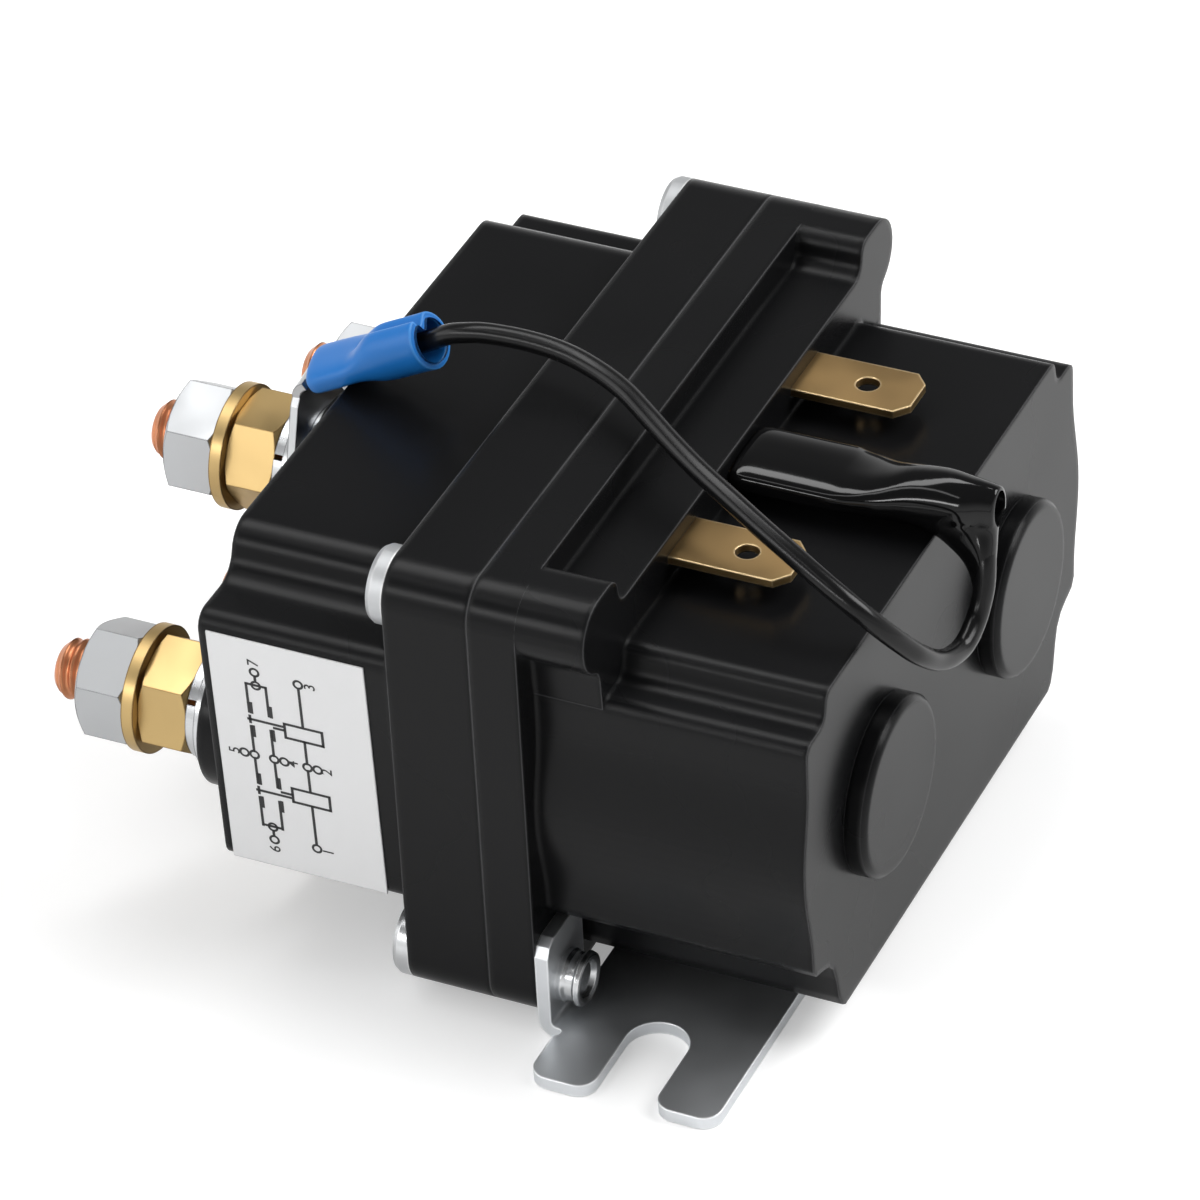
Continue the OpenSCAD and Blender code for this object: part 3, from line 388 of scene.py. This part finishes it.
def metal(name, color, rough, lines, depth, painted_edge, edge_width=0.2):
    """A metal; rough is its lowest and highest roughness, lines how fine its drawn lines are
    along X, Y and Z, depth their depth, edge the colour of a painted highlight or painted shade line
    along its edges, and edge_width the width of that line in millimetres."""
    f = Finish(name, color, 1.0)
    drawn = f.group(DRAWN_LINES, Stretch=lines)
    grain = f.group(FINE_GRAIN, Grain_per_metre=2500.0, Cloud_per_metre=120.0)
    f.two_tone(grain.outputs["Cloud"])
    # painted highlight (light colour) or painted shade (dark colour) along the outer edges
    f.edges(width=edge_width, contrast=4.5, color=painted_edge, amount=0.8)
    f.bump(drawn.outputs["Height"], depth)
    f.cloudy(grain.outputs["Cloud"], *rough)
    return f.material


def plastic(name, color, roughness, depth=0.004, painted_edge=None, **sockets):
    """A moulded or coated finish; edge, if given, is the colour of a painted highlight line along its
    outer edges, and sockets are more of its shader's values.
    """
    f = Finish(name, color, 0.0)
    grain = f.group(FINE_GRAIN, Grain_per_metre=3600.0, Cloud_per_metre=90.0)
    # painted highlight line along the outer edges
    if painted_edge is not None:
        f.edges(width=0.25, contrast=2.5, color=painted_edge, amount=0.6)
    f.bump(grain.outputs["Height"], depth, strength=0.6)
    f.cloudy(grain.outputs["Cloud"], roughness * 0.85, roughness * 1.15)
    for label, value in sockets.items():
        f.set(label.replace("_", " "), value)
    return f.material


BLACK = black_moulding()
# each metal's edge colour is painted light: pale ones are painted highlight lines, dark ones painted
# shade lines along its outer edges
ZINC_SHEET = metal("zinc_sheet", (0.74, 0.76, 0.78), rough=(0.44, 0.48),
                   lines=(60.0, 2600.0, 2600.0), depth=0.0012, painted_edge=(0.95, 0.96, 0.97))
ZINC_NUT = metal("zinc_nut", (0.49, 0.50, 0.51), rough=(0.344, 0.5375),
                 lines=(2600.0, 300.0, 300.0), depth=0.0016, painted_edge=(0.10, 0.10, 0.105),
                 edge_width=0.14)
ZINC_BRIGHT = metal("zinc_bright", (0.60, 0.61, 0.62), rough=(0.256, 0.40),
                    lines=(2600.0, 300.0, 300.0), depth=0.0016, painted_edge=(0.16, 0.16, 0.17),
                    edge_width=0.12)
ROLLED_RIVET = metal("rolled_rivet", (0.62, 0.63, 0.64), rough=(0.192, 0.30),
                     lines=(300.0, 2400.0, 2400.0), depth=0.0030, painted_edge=(0.9, 0.9, 0.9),
                     edge_width=0.14)
RIVET = metal("rivet_steel", (0.50, 0.51, 0.52), rough=(0.44, 0.6875),
              lines=(300.0, 2400.0, 2400.0), depth=0.0050, painted_edge=(0.72, 0.72, 0.72))
BRASS = metal("bright_brass", (0.51, 0.36, 0.16), rough=(0.32, 0.50),
              lines=(2400.0, 200.0, 200.0), depth=0.0014, painted_edge=(0.15, 0.085, 0.03),
              edge_width=0.14)
TAB_BRASS = metal("tab_brass", (0.46, 0.30, 0.13), rough=(0.272, 0.425),
                  lines=(120.0, 2600.0, 2600.0), depth=0.0015, painted_edge=(0.85, 0.66, 0.38))
COPPER = metal("copper_thread", (0.60, 0.25, 0.125), rough=(0.272, 0.425),
               lines=(2400.0, 200.0, 200.0), depth=0.0010, painted_edge=(0.16, 0.055, 0.025),
               edge_width=0.15)
IRON = metal("magnet_iron", (0.42, 0.42, 0.43), rough=(0.28, 0.4375),
             lines=(200.0, 2400.0, 2400.0), depth=0.0015, painted_edge=(0.6, 0.6, 0.6))
SILVER = metal("contact_silver", (0.82, 0.82, 0.80), rough=(0.24, 0.375),
               lines=(900.0, 900.0, 900.0), depth=0.0010, painted_edge=(0.9, 0.9, 0.9))
VARNISH = metal("varnished_wire", (0.42, 0.13, 0.04), rough=(0.24, 0.375),
                lines=(2600.0, 30.0, 30.0), depth=0.0300, painted_edge=(0.6, 0.25, 0.1))
NYLON = plastic("natural_nylon", (0.72, 0.69, 0.60), roughness=0.45)
# the edge colours of BLUE and FOIL are painted highlight lines along their outer edges
BLUE = plastic("blue_sleeve", (0.010, 0.145, 0.46), roughness=0.36, depth=0.006,
               painted_edge=(0.10, 0.36, 0.80), Specular_IOR_Level=0.3)
VINYL = plastic("black_vinyl", (0.0030, 0.0030, 0.0032), roughness=0.09, depth=0.001,
                Specular_IOR_Level=0.32)
LEAD_SKIN = plastic("lead_skin", (0.0045, 0.0045, 0.0048), roughness=0.25, depth=0.001,
                    Specular_IOR_Level=0.26)
FOIL = plastic("label_foil", (0.45, 0.455, 0.465), roughness=0.42, depth=0.002,
               painted_edge=(0.85, 0.85, 0.85), Metallic=0.25)
INK = plastic("label_ink", (0.012, 0.012, 0.013), roughness=0.5, depth=0.002)

FINISH_OF = {
    "bracket": ZINC_SHEET, "front_cover": BLACK, "coil_housing": BLACK, "rear_plugs": BLACK,
    "label": FOIL, "rivets_upper": RIVET, "rivets_lower": ROLLED_RIVET, "stud_near": COPPER,
    "stud_far": COPPER, "stud_top": COPPER, "stud_bottom": COPPER, "outer_nuts": ZINC_NUT,
    "brass_washers": BRASS, "inner_nuts": BRASS, "spring_washers": ZINC_BRIGHT,
    "flat_washers": ZINC_BRIGHT, "ring_lug": ZINC_BRIGHT, "lug_sleeve": BLUE, "lug_terminal": BRASS,
    "tab_sleeve": VINYL, "tab_terminal": BRASS, "jumper_lead": LEAD_SKIN, "spade_tabs": TAB_BRASS,
    "coil_leads": VARNISH, "strap_near": COPPER, "strap_far": COPPER, "bar_top": COPPER,
    "bar_bottom": COPPER, "contact_tips": SILVER, "partition": BLACK, "pole_plate": IRON,
    "yoke": IRON, "core_near": IRON, "core_far": IRON, "bobbin_near": NYLON, "bobbin_far": NYLON,
    "winding_near": VARNISH, "winding_far": VARNISH, "plunger_near": IRON, "plunger_far": IRON,
    "rod_near": NYLON, "rod_far": NYLON, "bridge_near": COPPER, "bridge_far": COPPER,
    "bridge_tips_near": SILVER, "bridge_tips_far": SILVER, "clip_near": ZINC_NUT,
    "clip_far": ZINC_NUT, "contact_spring_near": IRON, "contact_spring_far": IRON,
    "return_spring_near": IRON, "return_spring_far": IRON,
}
for name, material in FINISH_OF.items():
    data = nodes[name].data
    if not data.materials:
        data.materials.append(material)
    for index in range(len(data.materials)):
        data.materials[index] = material


# jumper lead: its route in millimetres has the same points as in the part's source
LEAD_ROUTE = [
    (-38.1, -2.3, 46.8), (-35.9, -2.5, 48.0), (-33.9, -2.6, 49.1),
    (-31.9, -2.8, 50.4), (-30.1, -2.8, 51.0), (-28.0, -2.6, 51.3),
    (-24.2, -2.4, 51.3), (-20.4, -2.7, 51.1), (-16.7, -3.8, 50.8),
    (-13.3, -5.5, 50.5), (-10.0, -7.8, 50.1), (-6.6, -10.2, 49.6),
    (-3.2, -12.4, 49.1), (0.4, -14.4, 48.5), (4.0, -16.2, 47.7),
    (7.6, -17.8, 46.8), (11.0, -19.0, 45.6), (14.2, -19.6, 44.0),
    (16.6, -18.9, 41.6), (18.2, -17.1, 38.8), (18.8, -15.6, 37.1),
    (19.1, -13.2, 35.0), (19.4, -11.1, 33.8), (19.6, -8.9, 33.2),
    (19.8, -7.4, 33.5), (19.9, -5.9, 34.3), (20.0, -5.0, 35.4),
    (20.1, -4.2, 37.1), (19.9, -3.4, 38.9), (19.5, -2.5, 40.3),
    (18.7, -1.6, 41.6), (17.4, -0.9, 42.4), (15.8, -0.6, 42.8), (12.1, -0.6, 42.8),
]
LEAD_RADIUS = 0.97
LEAD_STEPS, LEAD_SIDES = 5, 20


def make_lead():
    path = spline_points(LEAD_ROUTE, LEAD_STEPS)
    mesh = swept_tube("jumper_lead_tube", path, LEAD_RADIUS, LEAD_SIDES)
    smooth(mesh, degrees=50)
    lead = add_object("lead_tube", mesh, LEAD_SKIN)
    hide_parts("jumper_lead")


make_lead()


# sleeves: each station is a place along X, width, height, centre in Y and Z, dent on top
# and squareness, all in millimetres; the dent runs over these degrees on its two sides
DENT_LIP, DENT_SLOPE = 9, 40


def sleeve_rings(stations, steps, sides, inset=0.0):
    rings = []
    for x, width, height, y, z, dent, square in spline_points(stations, steps):
        ring = []
        for k in range(sides):
            turn = 2 * math.pi * (k + 0.5) / sides
            c, s = math.cos(turn), math.sin(turn)
            across = math.copysign(abs(c) ** (2 / square), c) * (width / 2 - inset)
            above = math.copysign(abs(s) ** (2 / square), s) * (height / 2 - inset)
            off = math.degrees(turn) - 90
            reach = off / DENT_LIP if off > 0 else -off / DENT_SLOPE
            above -= dent * 0.5 * (1 + math.cos(math.pi * min(1.0, reach)))
            ring.append(Vector((x, y + across, z + above)))
        rings.append(ring)
    return rings


BLUE_START = Vector((-46.36, -1.66, 42.21))
BLUE_TURN, BLUE_SLOPE = 8.0, -29.3
BLUE_WALL = 0.5
BLUE_SIDES = 72
# the flat end is cut askew: it leans by this share of Y, fading out over this length
BLUE_END_LEAN, BLUE_LEAN_LENGTH = 0.27, 6 * MM
BLUE_STATIONS = [
    (0.0, 4.9, 1.7, 0, 0, 0, 2.4), (0.2, 5.7, 2.2, 0, 0, 0, 2.6), (0.8, 6.2, 2.45, 0, 0, 0, 2.8),
    (2.2, 6.2, 2.45, 0, 0, 0, 3.0), (4.2, 6.1, 2.45, 0, 0, 0, 3.0), (5.6, 5.9, 2.55, 0, 0, 0.05, 2.8),
    (6.5, 5.6, 3.1, 0, 0, 0.35, 2.4), (7.4, 5.35, 4.1, 0, 0, 0.75, 2.1),
    (8.4, 5.3, 5.0, 0, 0, 0.95, 2.0), (9.6, 5.3, 5.3, 0, 0, 1.0, 2.0),
    (12.0, 5.3, 5.3, 0, 0, 1.0, 2.0), (14.25, 5.35, 5.35, 0, 0, 1.0, 2.0),
]
BLUE_RIM = [(14.3, 5.3, 5.3, 0, 0, 1.0, 2.0), (14.31, 5.2, 5.2, 0, 0, 1.0, 2.0)]
BLUE_BORE = [(14.31, 5.2, 5.2, 0, 0, 1.0, 2.0), (14.25, 5.2, 5.2, 0, 0, 1.0, 2.0),
             (9.0, 5.2, 5.2, 0, 0, 1.0, 2.0)]


def make_blue_sleeve():
    outer = sleeve_rings(BLUE_STATIONS, steps=4, sides=BLUE_SIDES)
    rim = sleeve_rings(BLUE_RIM, steps=1, sides=BLUE_SIDES)
    bore = sleeve_rings(BLUE_BORE, steps=2, sides=BLUE_SIDES, inset=BLUE_WALL)
    mesh = joined_rings("blue_sleeve", outer + rim + bore)
    for vertex in mesh.vertices:
        fade = max(0.0, 1 - vertex.co.x / BLUE_LEAN_LENGTH)
        vertex.co.x -= BLUE_END_LEAN * vertex.co.y * fade
    turn = Matrix.Rotation(math.radians(BLUE_TURN), 4, "X") @ Matrix.Rotation(
        math.radians(BLUE_SLOPE), 4, "Y")
    mesh.transform(Matrix.Translation(BLUE_START * MM) @ turn)
    smooth(mesh, degrees=38)
    sleeve = add_object("blue_sleeve", mesh, BLUE)
    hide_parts("lug_sleeve")


BOOT_STATIONS = [
    (-4.45, 7.7, 2.2, 0, 42.1, 0, 2.6), (-4.3, 8.2, 2.6, 0, 42.1, 0, 2.7),
    (-3.6, 8.6, 2.95, 0, 42.1, 0, 2.8), (-1.5, 8.6, 3.0, 0, 42.1, 0, 2.8),
    (2.5, 8.6, 3.0, 0, 42.1, 0, 2.8), (4.9, 8.6, 3.0, 0, 42.15, 0, 2.7),
    (6.2, 8.1, 3.1, -0.2, 42.2, 0, 2.6), (7.8, 7.6, 3.5, -0.35, 42.3, 0, 2.4),
    (9.6, 6.8, 4.2, -0.65, 42.45, 0, 2.2), (12.0, 6.0, 5.2, -0.75, 42.7, 0, 2.0),
    (15.0, 5.7, 5.8, -0.8, 42.85, 0, 2.0), (17.4, 5.1, 5.5, -0.9, 42.9, 0, 2.0),
    (19.2, 4.0, 4.9, -0.7, 42.95, 0, 2.0), (20.25, 3.5, 4.6, -0.7, 42.95, 0, 2.0),
]
BOOT_MOUTH = [(17.2, 0.4, 0.8, -0.8, 43.4, 0, 2.0), (18.0, 1.6, 2.6, -0.75, 43.3, 0, 2.0),
              (20.0, 2.5, 3.5, -0.7, 43.15, 0, 2.0), (21.5, 2.9, 3.9, -0.7, 43.1, 0, 2.0)]
# the sheath round the lead, and the web between it and the barrel: x, y, z and radius
BOOT_SHEATH = [
    (15.8, -0.8, 42.4, 2.0), (17.4, -0.9, 42.3, 1.9), (18.7, -1.5, 41.6, 1.7), (19.4, -2.4, 40.4, 1.5),
    (19.8, -3.3, 39.0, 1.3), (20.0, -4.1, 37.3, 1.12), (20.0, -4.9, 35.6, 1.02),
]
BOOT_WEB = [(13.6, -0.9, 41.6, 1.9), (15.6, -1.2, 41.2, 2.1), (17.4, -1.9, 40.4, 2.0),
            (18.6, -2.6, 39.4, 1.6), (19.3, -3.3, 38.2, 1.3), (19.7, -4.0, 36.8, 1.1)]
BEAD_STEPS = 6
# the web's own points lie behind this X and below this Z, and are smoothed this often
WEB_X, WEB_Z, WEB_ROUNDS = 14.0, 42.2, 150


def add_beads(work, route):
    """Puts closely set balls along a route; the skin over them is smooth."""
    for x, y, z, radius in spline_points(route, BEAD_STEPS):
        bmesh.ops.create_icosphere(work, subdivisions=2, radius=radius * MM,
                                   matrix=Matrix.Translation(Vector((x, y, z)) * MM))


def soften_web(mesh):
    """Flows the web at the mouth into the barrel and the sheath; the mesh is in millimetres."""
    work = bmesh.new()
    work.from_mesh(mesh)
    web = [v for v in work.verts if v.co.x > WEB_X and v.co.z < WEB_Z]
    for _ in range(WEB_ROUNDS):
        bmesh.ops.smooth_vert(work, verts=web, factor=0.5, use_axis_x=True,
                              use_axis_y=True, use_axis_z=True)
    work.to_mesh(mesh)
    work.free()


def make_black_boot():
    """One skin over the boot's body, sheath and web, with its mouth cut out; the remesh, the
    smoothing and the cut are made at a scale where a millimetre is one unit."""
    work = bmesh.new()
    body = sleeve_rings(BOOT_STATIONS, steps=4, sides=48)
    work.from_mesh(joined_rings("boot_body", body))
    add_beads(work, BOOT_SHEATH)
    add_beads(work, BOOT_WEB)
    whole = bpy.data.meshes.new("boot_whole")
    work.to_mesh(whole)
    work.free()
    grow = Matrix.Scale(1 / MM, 4)
    whole.transform(grow)
    skin = with_modifier(whole, "REMESH", mode="VOXEL", voxel_size=0.16)
    skin = with_modifier(skin, "SMOOTH", factor=0.5, iterations=20)
    soften_web(skin)
    mouth = joined_rings("boot_mouth", sleeve_rings(BOOT_MOUTH, steps=3, sides=40))
    mouth.transform(grow)
    knife = in_scene("mouth_knife", mouth)
    mesh = with_modifier(skin, "BOOLEAN", operation="DIFFERENCE", object=knife)
    bpy.data.objects.remove(knife)
    mesh.name = "black_boot"
    mesh.transform(Matrix.Scale(MM, 4))
    smooth(mesh, degrees=50)
    boot = add_object("black_boot", mesh, VINYL)
    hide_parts("tab_sleeve")


make_blue_sleeve()
make_black_boot()


# copper studs, in millimetres: a thread at the outer end, and a round head inside the cover
STUD_RADIUS, STUD_SIDES = 2.9, 40
THREAD_PITCH, THREAD_DEPTH, THREAD_LENGTH = 1.0, 0.42, 15.0
THREAD_STEPS = 10
THREAD_CREST, THREAD_FLANK = 0.12, 0.7
TIP_CUT, TIP_CHAMFER = 0.75, 0.9
HEAD_START, HEAD_END, HEAD_EDGE = -39.9, -38.4, 0.05


def thread_radius(out, turn):
    """The stud's radius at a length out from its tip, and at a share turn of the way round."""
    wave = abs((out / THREAD_PITCH - turn) % 1.0 * 2 - 1)
    groove = THREAD_DEPTH * max(0.0, min(1.0, (wave - THREAD_CREST) / THREAD_FLANK))
    return min(STUD_RADIUS - groove, STUD_RADIUS - TIP_CUT + out * TIP_CHAMFER)


def threaded_stud(name, node):
    """Copies a stud as a turned body with a real helical thread on its outer end."""
    low, high = (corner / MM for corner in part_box(node))
    y = (low.y + high.y) / 2
    z = (low.z + high.z) / 2
    head = (high.y - low.y) / 2
    turns = [k / STUD_SIDES for k in range(STUD_SIDES)]
    profile = []
    for i in range(int(THREAD_LENGTH / THREAD_PITCH * THREAD_STEPS) + 1):
        out = i * THREAD_PITCH / THREAD_STEPS
        profile.append((low.x + out, [thread_radius(out, turn) for turn in turns]))
    for x, radius in ((low.x + THREAD_LENGTH + HEAD_EDGE, STUD_RADIUS),
                      (HEAD_START - HEAD_EDGE, STUD_RADIUS), (HEAD_START, head),
                      (HEAD_END, head), (HEAD_END + HEAD_EDGE, STUD_RADIUS),
                      (high.x, STUD_RADIUS)):
        profile.append((x, [radius] * STUD_SIDES))
    rings = [[(x, y + radius * math.cos(2 * math.pi * turn), z + radius * math.sin(2 * math.pi * turn))
              for turn, radius in zip(turns, radii)] for x, radii in profile]
    mesh = joined_rings(name, rings)
    smooth(mesh, degrees=50)
    stud = add_object(name, mesh, COPPER)
    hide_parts(node)


for place in ("near", "far", "top", "bottom"):
    threaded_stud("threaded_stud_" + place, "stud_" + place)


def make_return_spring(place):
    node = "return_spring_" + place
    spring = add_object("coiled_" + node, nodes[node].data.copy(), IRON)
    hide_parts(node)
    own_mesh(spring)


for place in ("near", "far"):
    make_return_spring(place)


# label print, in millimetres: s runs up the label from its lower edge, t from its right edge
# towards the studs
LABEL_LOW, LABEL_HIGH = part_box("label")
LABEL_THICKNESS = 0.15
INK_LIFT = 0.015
LINE_WIDTH, BLADE_WIDTH = 0.28, 0.36
RING_RADIUS, RING_WIDTH, RING_SIDES = 0.42, 0.24, 20
DIGIT_SIZE, DIGIT_BOLD = 1.54, 0.012
# the drawing has two like halves, above and below MIDDLE
MIDDLE = 12.93
RAIL_A, RAIL_B, COIL = 11.93, 9.98, 6.68
RAIL_MIDDLE = (RAIL_A + RAIL_B) / 2
RAIL_ENDS = (4.75, 21.2)
BLADE_DROP = 0.22
# lines of one half: distance from MIDDLE and t, at both ends
HALF_LINES = [
    (4.15, RAIL_A + 0.15, 4.15, RAIL_B - 1.2), (3.8, RAIL_A, 4.5, RAIL_A),
    (3.75, COIL + 1.9, 3.75, COIL + 2.9), (0.4, COIL, 2.9, COIL), (4.6, COIL, 9.1, COIL),
    (8.7, RAIL_MIDDLE, 9.3, RAIL_MIDDLE),
]
COIL_BOX = (2.95, COIL - 1.85, 4.55, COIL + 1.85)
HALF_RINGS = [(9.55, COIL), (8.25, RAIL_MIDDLE), (9.75, RAIL_MIDDLE)]
# lines and contact blades of one half that both rails have: their distances from MIDDLE
RAIL_LINES = [(0.4, 3.3), (5.0, 8.25)]
RAIL_BLADES = [(2.3, 3.3), (5.0, 6.0)]
MIDDLE_RINGS = [RAIL_A, RAIL_A + 1.0, RAIL_B, RAIL_B - 1.0, COIL, COIL - 1.0]
DIGITS = [
    ("7", 23.75, 10.95), ("6", 2.1, 10.95), ("5", MIDDLE, 13.9), ("4", MIDDLE, 8.1),
    ("3", 22.5, 5.5), ("2", MIDDLE, 4.75), ("1", 3.3, 5.5),
]


def ink_point(s, t):
    """The point on the label's leaning face, just proud of it."""
    height = (LABEL_HIGH.z - LABEL_LOW.z) / MM
    foot = Vector((LABEL_HIGH.x / MM, LABEL_HIGH.y / MM - LABEL_THICKNESS, LABEL_LOW.z / MM))
    lean = (LABEL_HIGH.y - LABEL_LOW.y) / MM - LABEL_THICKNESS
    up = Vector((0.0, -lean, height)).normalized()
    normal = Vector((0.0, -up.z, up.y))
    return foot + up * s + Vector((-t, 0, 0)) + normal * INK_LIFT


class Print:
    """Thin ink strips, rings and digits that lie on the label."""

    def __init__(self):
        self.points = []
        self.faces = []

    def add(self, places, faces):
        first = len(self.points)
        self.points.extend(ink_point(s, t) for s, t in places)
        self.faces.extend(tuple(first + i for i in face) for face in faces)

    def line(self, s0, t0, s1, t1, width=LINE_WIDTH):
        along = Vector((s1 - s0, t1 - t0)).normalized() * width / 2
        side = Vector((-along.y, along.x))
        start = Vector((s0, t0)) - along
        end = Vector((s1, t1)) + along
        self.add([start + side, end + side, end - side, start - side], [(0, 1, 2, 3)])

    def box(self, s0, t0, s1, t1):
        self.line(s0, t0, s1, t0)
        self.line(s1, t0, s1, t1)
        self.line(s1, t1, s0, t1)
        self.line(s0, t1, s0, t0)

    def ring(self, s, t):
        inner = RING_RADIUS - RING_WIDTH / 2
        outer = RING_RADIUS + RING_WIDTH / 2
        for k in range(RING_SIDES):
            a = 2 * math.pi * k / RING_SIDES
            b = 2 * math.pi * (k + 1) / RING_SIDES
            self.add([(s + r * math.cos(turn), t + r * math.sin(turn))
                      for r, turn in ((inner, a), (outer, a), (outer, b), (inner, b))],
                     [(0, 1, 2, 3)])

    def digit(self, text, s, t):
        data = bpy.data.curves.new("digit_" + text, "FONT")
        data.body = text
        data.size = DIGIT_SIZE
        data.align_x = "CENTER"
        data.align_y = "CENTER"
        data.offset = DIGIT_BOLD
        flat = finished_mesh(in_scene("digit_" + text, data))
        self.add([(s + v.co.x, t + v.co.y) for v in flat.vertices],
                 [tuple(p.vertices) for p in flat.polygons])
        bpy.data.meshes.remove(flat)


def make_label_print():
    ink = Print()
    for s in RAIL_ENDS:
        ink.line(s, RAIL_A, s, RAIL_B)
    for way in (-1, 1):
        for s0, t0, s1, t1 in HALF_LINES:
            ink.line(MIDDLE + way * s0, t0, MIDDLE + way * s1, t1)
        for rail in (RAIL_A, RAIL_B):
            for s0, s1 in RAIL_LINES:
                ink.line(MIDDLE + way * s0, rail, MIDDLE + way * s1, rail)
            for s0, s1 in RAIL_BLADES:
                blade = rail - BLADE_DROP
                ink.line(MIDDLE + way * s0, blade, MIDDLE + way * s1, blade, BLADE_WIDTH)
        s0, t0, s1, t1 = COIL_BOX
        ink.box(MIDDLE + way * s0, t0, MIDDLE + way * s1, t1)
        for s, t in HALF_RINGS:
            ink.ring(MIDDLE + way * s, t)
    for t in MIDDLE_RINGS:
        ink.ring(MIDDLE, t)
    for text, s, t in DIGITS:
        ink.digit(text, s, t)
    mesh = mesh_from("label_print", ink.points, ink.faces)
    piece = add_object("label_print", mesh, INK)


make_label_print()


# floor, lights, world
FLOOR_REACH, FLOOR_DROP = 4.0, 0.00005
FLOOR_GREY, FLOOR_ROUGHNESS = 0.80, 0.9
FLOOR_GLOW = 0.30
# how much of the glow a glossy surface mirrors
GLOW_MIRRORED = 0.45
ROOM_LIGHT = 0.30
# in mirrors the world goes from white to this grey between two values of a direction's Z
CEILING_START, CEILING_END, CEILING_GREY = 0.05, 0.60, 0.17
WHITE = (1.0, 1.0, 1.0, 1.0)
# name, place, the point it faces, size and power
LAMPS = [
    ("key_right", (0.50, 0.28, 0.62), (0.0, 0.0, 0.02), (0.50, 0.50), 6.5),
    ("strip_front", (-0.28, -0.67, 0.33), (-0.02, 0.0, 0.03), (0.70, 0.07), 2.0),
    ("strip_top", (-0.28, 0.16, 0.73), (-0.02, 0.0, 0.03), (0.70, 0.16), 2.4),
    ("strip_middle", (-0.28, -0.31, 0.64), (-0.02, 0.0, 0.03), (0.70, 0.05), 0.40),
    ("fill_left", (-0.60, -0.30, 0.30), (0.0, 0.0, 0.02), (0.40, 0.40), 1.0),
]


def pale_floor():
    """A pale floor that takes shadows, and glows a little to the camera and in mirrors."""
    mesh = bpy.data.meshes.new("floor_sheet")
    corners = [(-1, -1), (1, -1), (1, 1), (-1, 1)]
    mesh.from_pydata([(x * FLOOR_REACH, y * FLOOR_REACH, -FLOOR_DROP) for x, y in corners],
                     [], [(0, 1, 2, 3)])
    floor = in_scene("floor_sheet", mesh)
    material = bpy.data.materials.new("pale_floor")
    material.use_nodes = True
    tree = material.node_tree
    shader = tree.nodes["Principled BSDF"]
    shader.inputs["Base Color"].default_value = (FLOOR_GREY, FLOOR_GREY, FLOOR_GREY, 1.0)
    shader.inputs["Roughness"].default_value = FLOOR_ROUGHNESS
    shader.inputs["Specular IOR Level"].default_value = 0.0
    glow = tree.nodes.new("ShaderNodeEmission")
    glow.inputs["Color"].default_value = WHITE
    glow.inputs["Strength"].default_value = FLOOR_GLOW
    lit = tree.nodes.new("ShaderNodeAddShader")
    tree.links.new(shader.outputs[0], lit.inputs[0])
    tree.links.new(glow.outputs[0], lit.inputs[1])
    rays = tree.nodes.new("ShaderNodeLightPath")
    mirrored = math_node(tree, "MULTIPLY", rays.outputs["Is Glossy Ray"], GLOW_MIRRORED)
    seen = math_node(tree, "MAXIMUM", rays.outputs["Is Camera Ray"], mirrored.outputs[0])
    surface = mixed_shader(tree, seen.outputs[0], shader.outputs[0], lit.outputs[0])
    tree.links.new(surface, tree.nodes["Material Output"].inputs["Surface"])
    mesh.materials.append(material)


def set_background(node, strength):
    node.inputs["Color"].default_value = WHITE
    node.inputs["Strength"].default_value = strength
    return node


def studio_world():
    """White behind the object; for glossy rays the white fades to a grey ceiling."""
    world = bpy.data.worlds.new("studio")
    bpy.context.scene.world = world
    world.use_nodes = True
    tree = world.node_tree
    room = set_background(tree.nodes["Background"], ROOM_LIGHT)
    white = set_background(tree.nodes.new("ShaderNodeBackground"), 1.0)
    mirrored = set_background(tree.nodes.new("ShaderNodeBackground"), 1.0)
    place = tree.nodes.new("ShaderNodeTexCoord")
    axes = tree.nodes.new("ShaderNodeSeparateXYZ")
    tree.links.new(place.outputs["Generated"], axes.inputs[0])
    ceiling = tree.nodes.new("ShaderNodeMapRange")
    ceiling.interpolation_type = "SMOOTHSTEP"
    ceiling.inputs["From Min"].default_value = CEILING_START
    ceiling.inputs["From Max"].default_value = CEILING_END
    ceiling.inputs["To Min"].default_value = 1.0
    ceiling.inputs["To Max"].default_value = CEILING_GREY
    tree.links.new(axes.outputs["Z"], ceiling.inputs["Value"])
    tree.links.new(ceiling.outputs["Result"], mirrored.inputs["Strength"])
    rays = tree.nodes.new("ShaderNodeLightPath")
    seen = math_node(tree, "MAXIMUM", rays.outputs["Is Camera Ray"],
                     rays.outputs["Is Transmission Ray"])
    around = mixed_shader(tree, rays.outputs["Is Glossy Ray"], room.outputs[0], mirrored.outputs[0])
    surface = mixed_shader(tree, seen.outputs[0], around, white.outputs[0])
    tree.links.new(surface, tree.nodes["World Output"].inputs["Surface"])


def soft_light(name, place, aim, size, power):
    data = bpy.data.lights.new(name, "AREA")
    data.shape = "RECTANGLE"
    data.size, data.size_y = size
    data.energy = power
    lamp = in_scene(name, data)
    lamp.location = place
    lamp.rotation_mode = "QUATERNION"
    lamp.rotation_quaternion = (Vector(aim) - Vector(place)).to_track_quat("-Z", "Y")


pale_floor()
studio_world()
for lamp in LAMPS:
    soft_light(*lamp)

bpy.context.scene.view_settings.view_transform = "Standard"
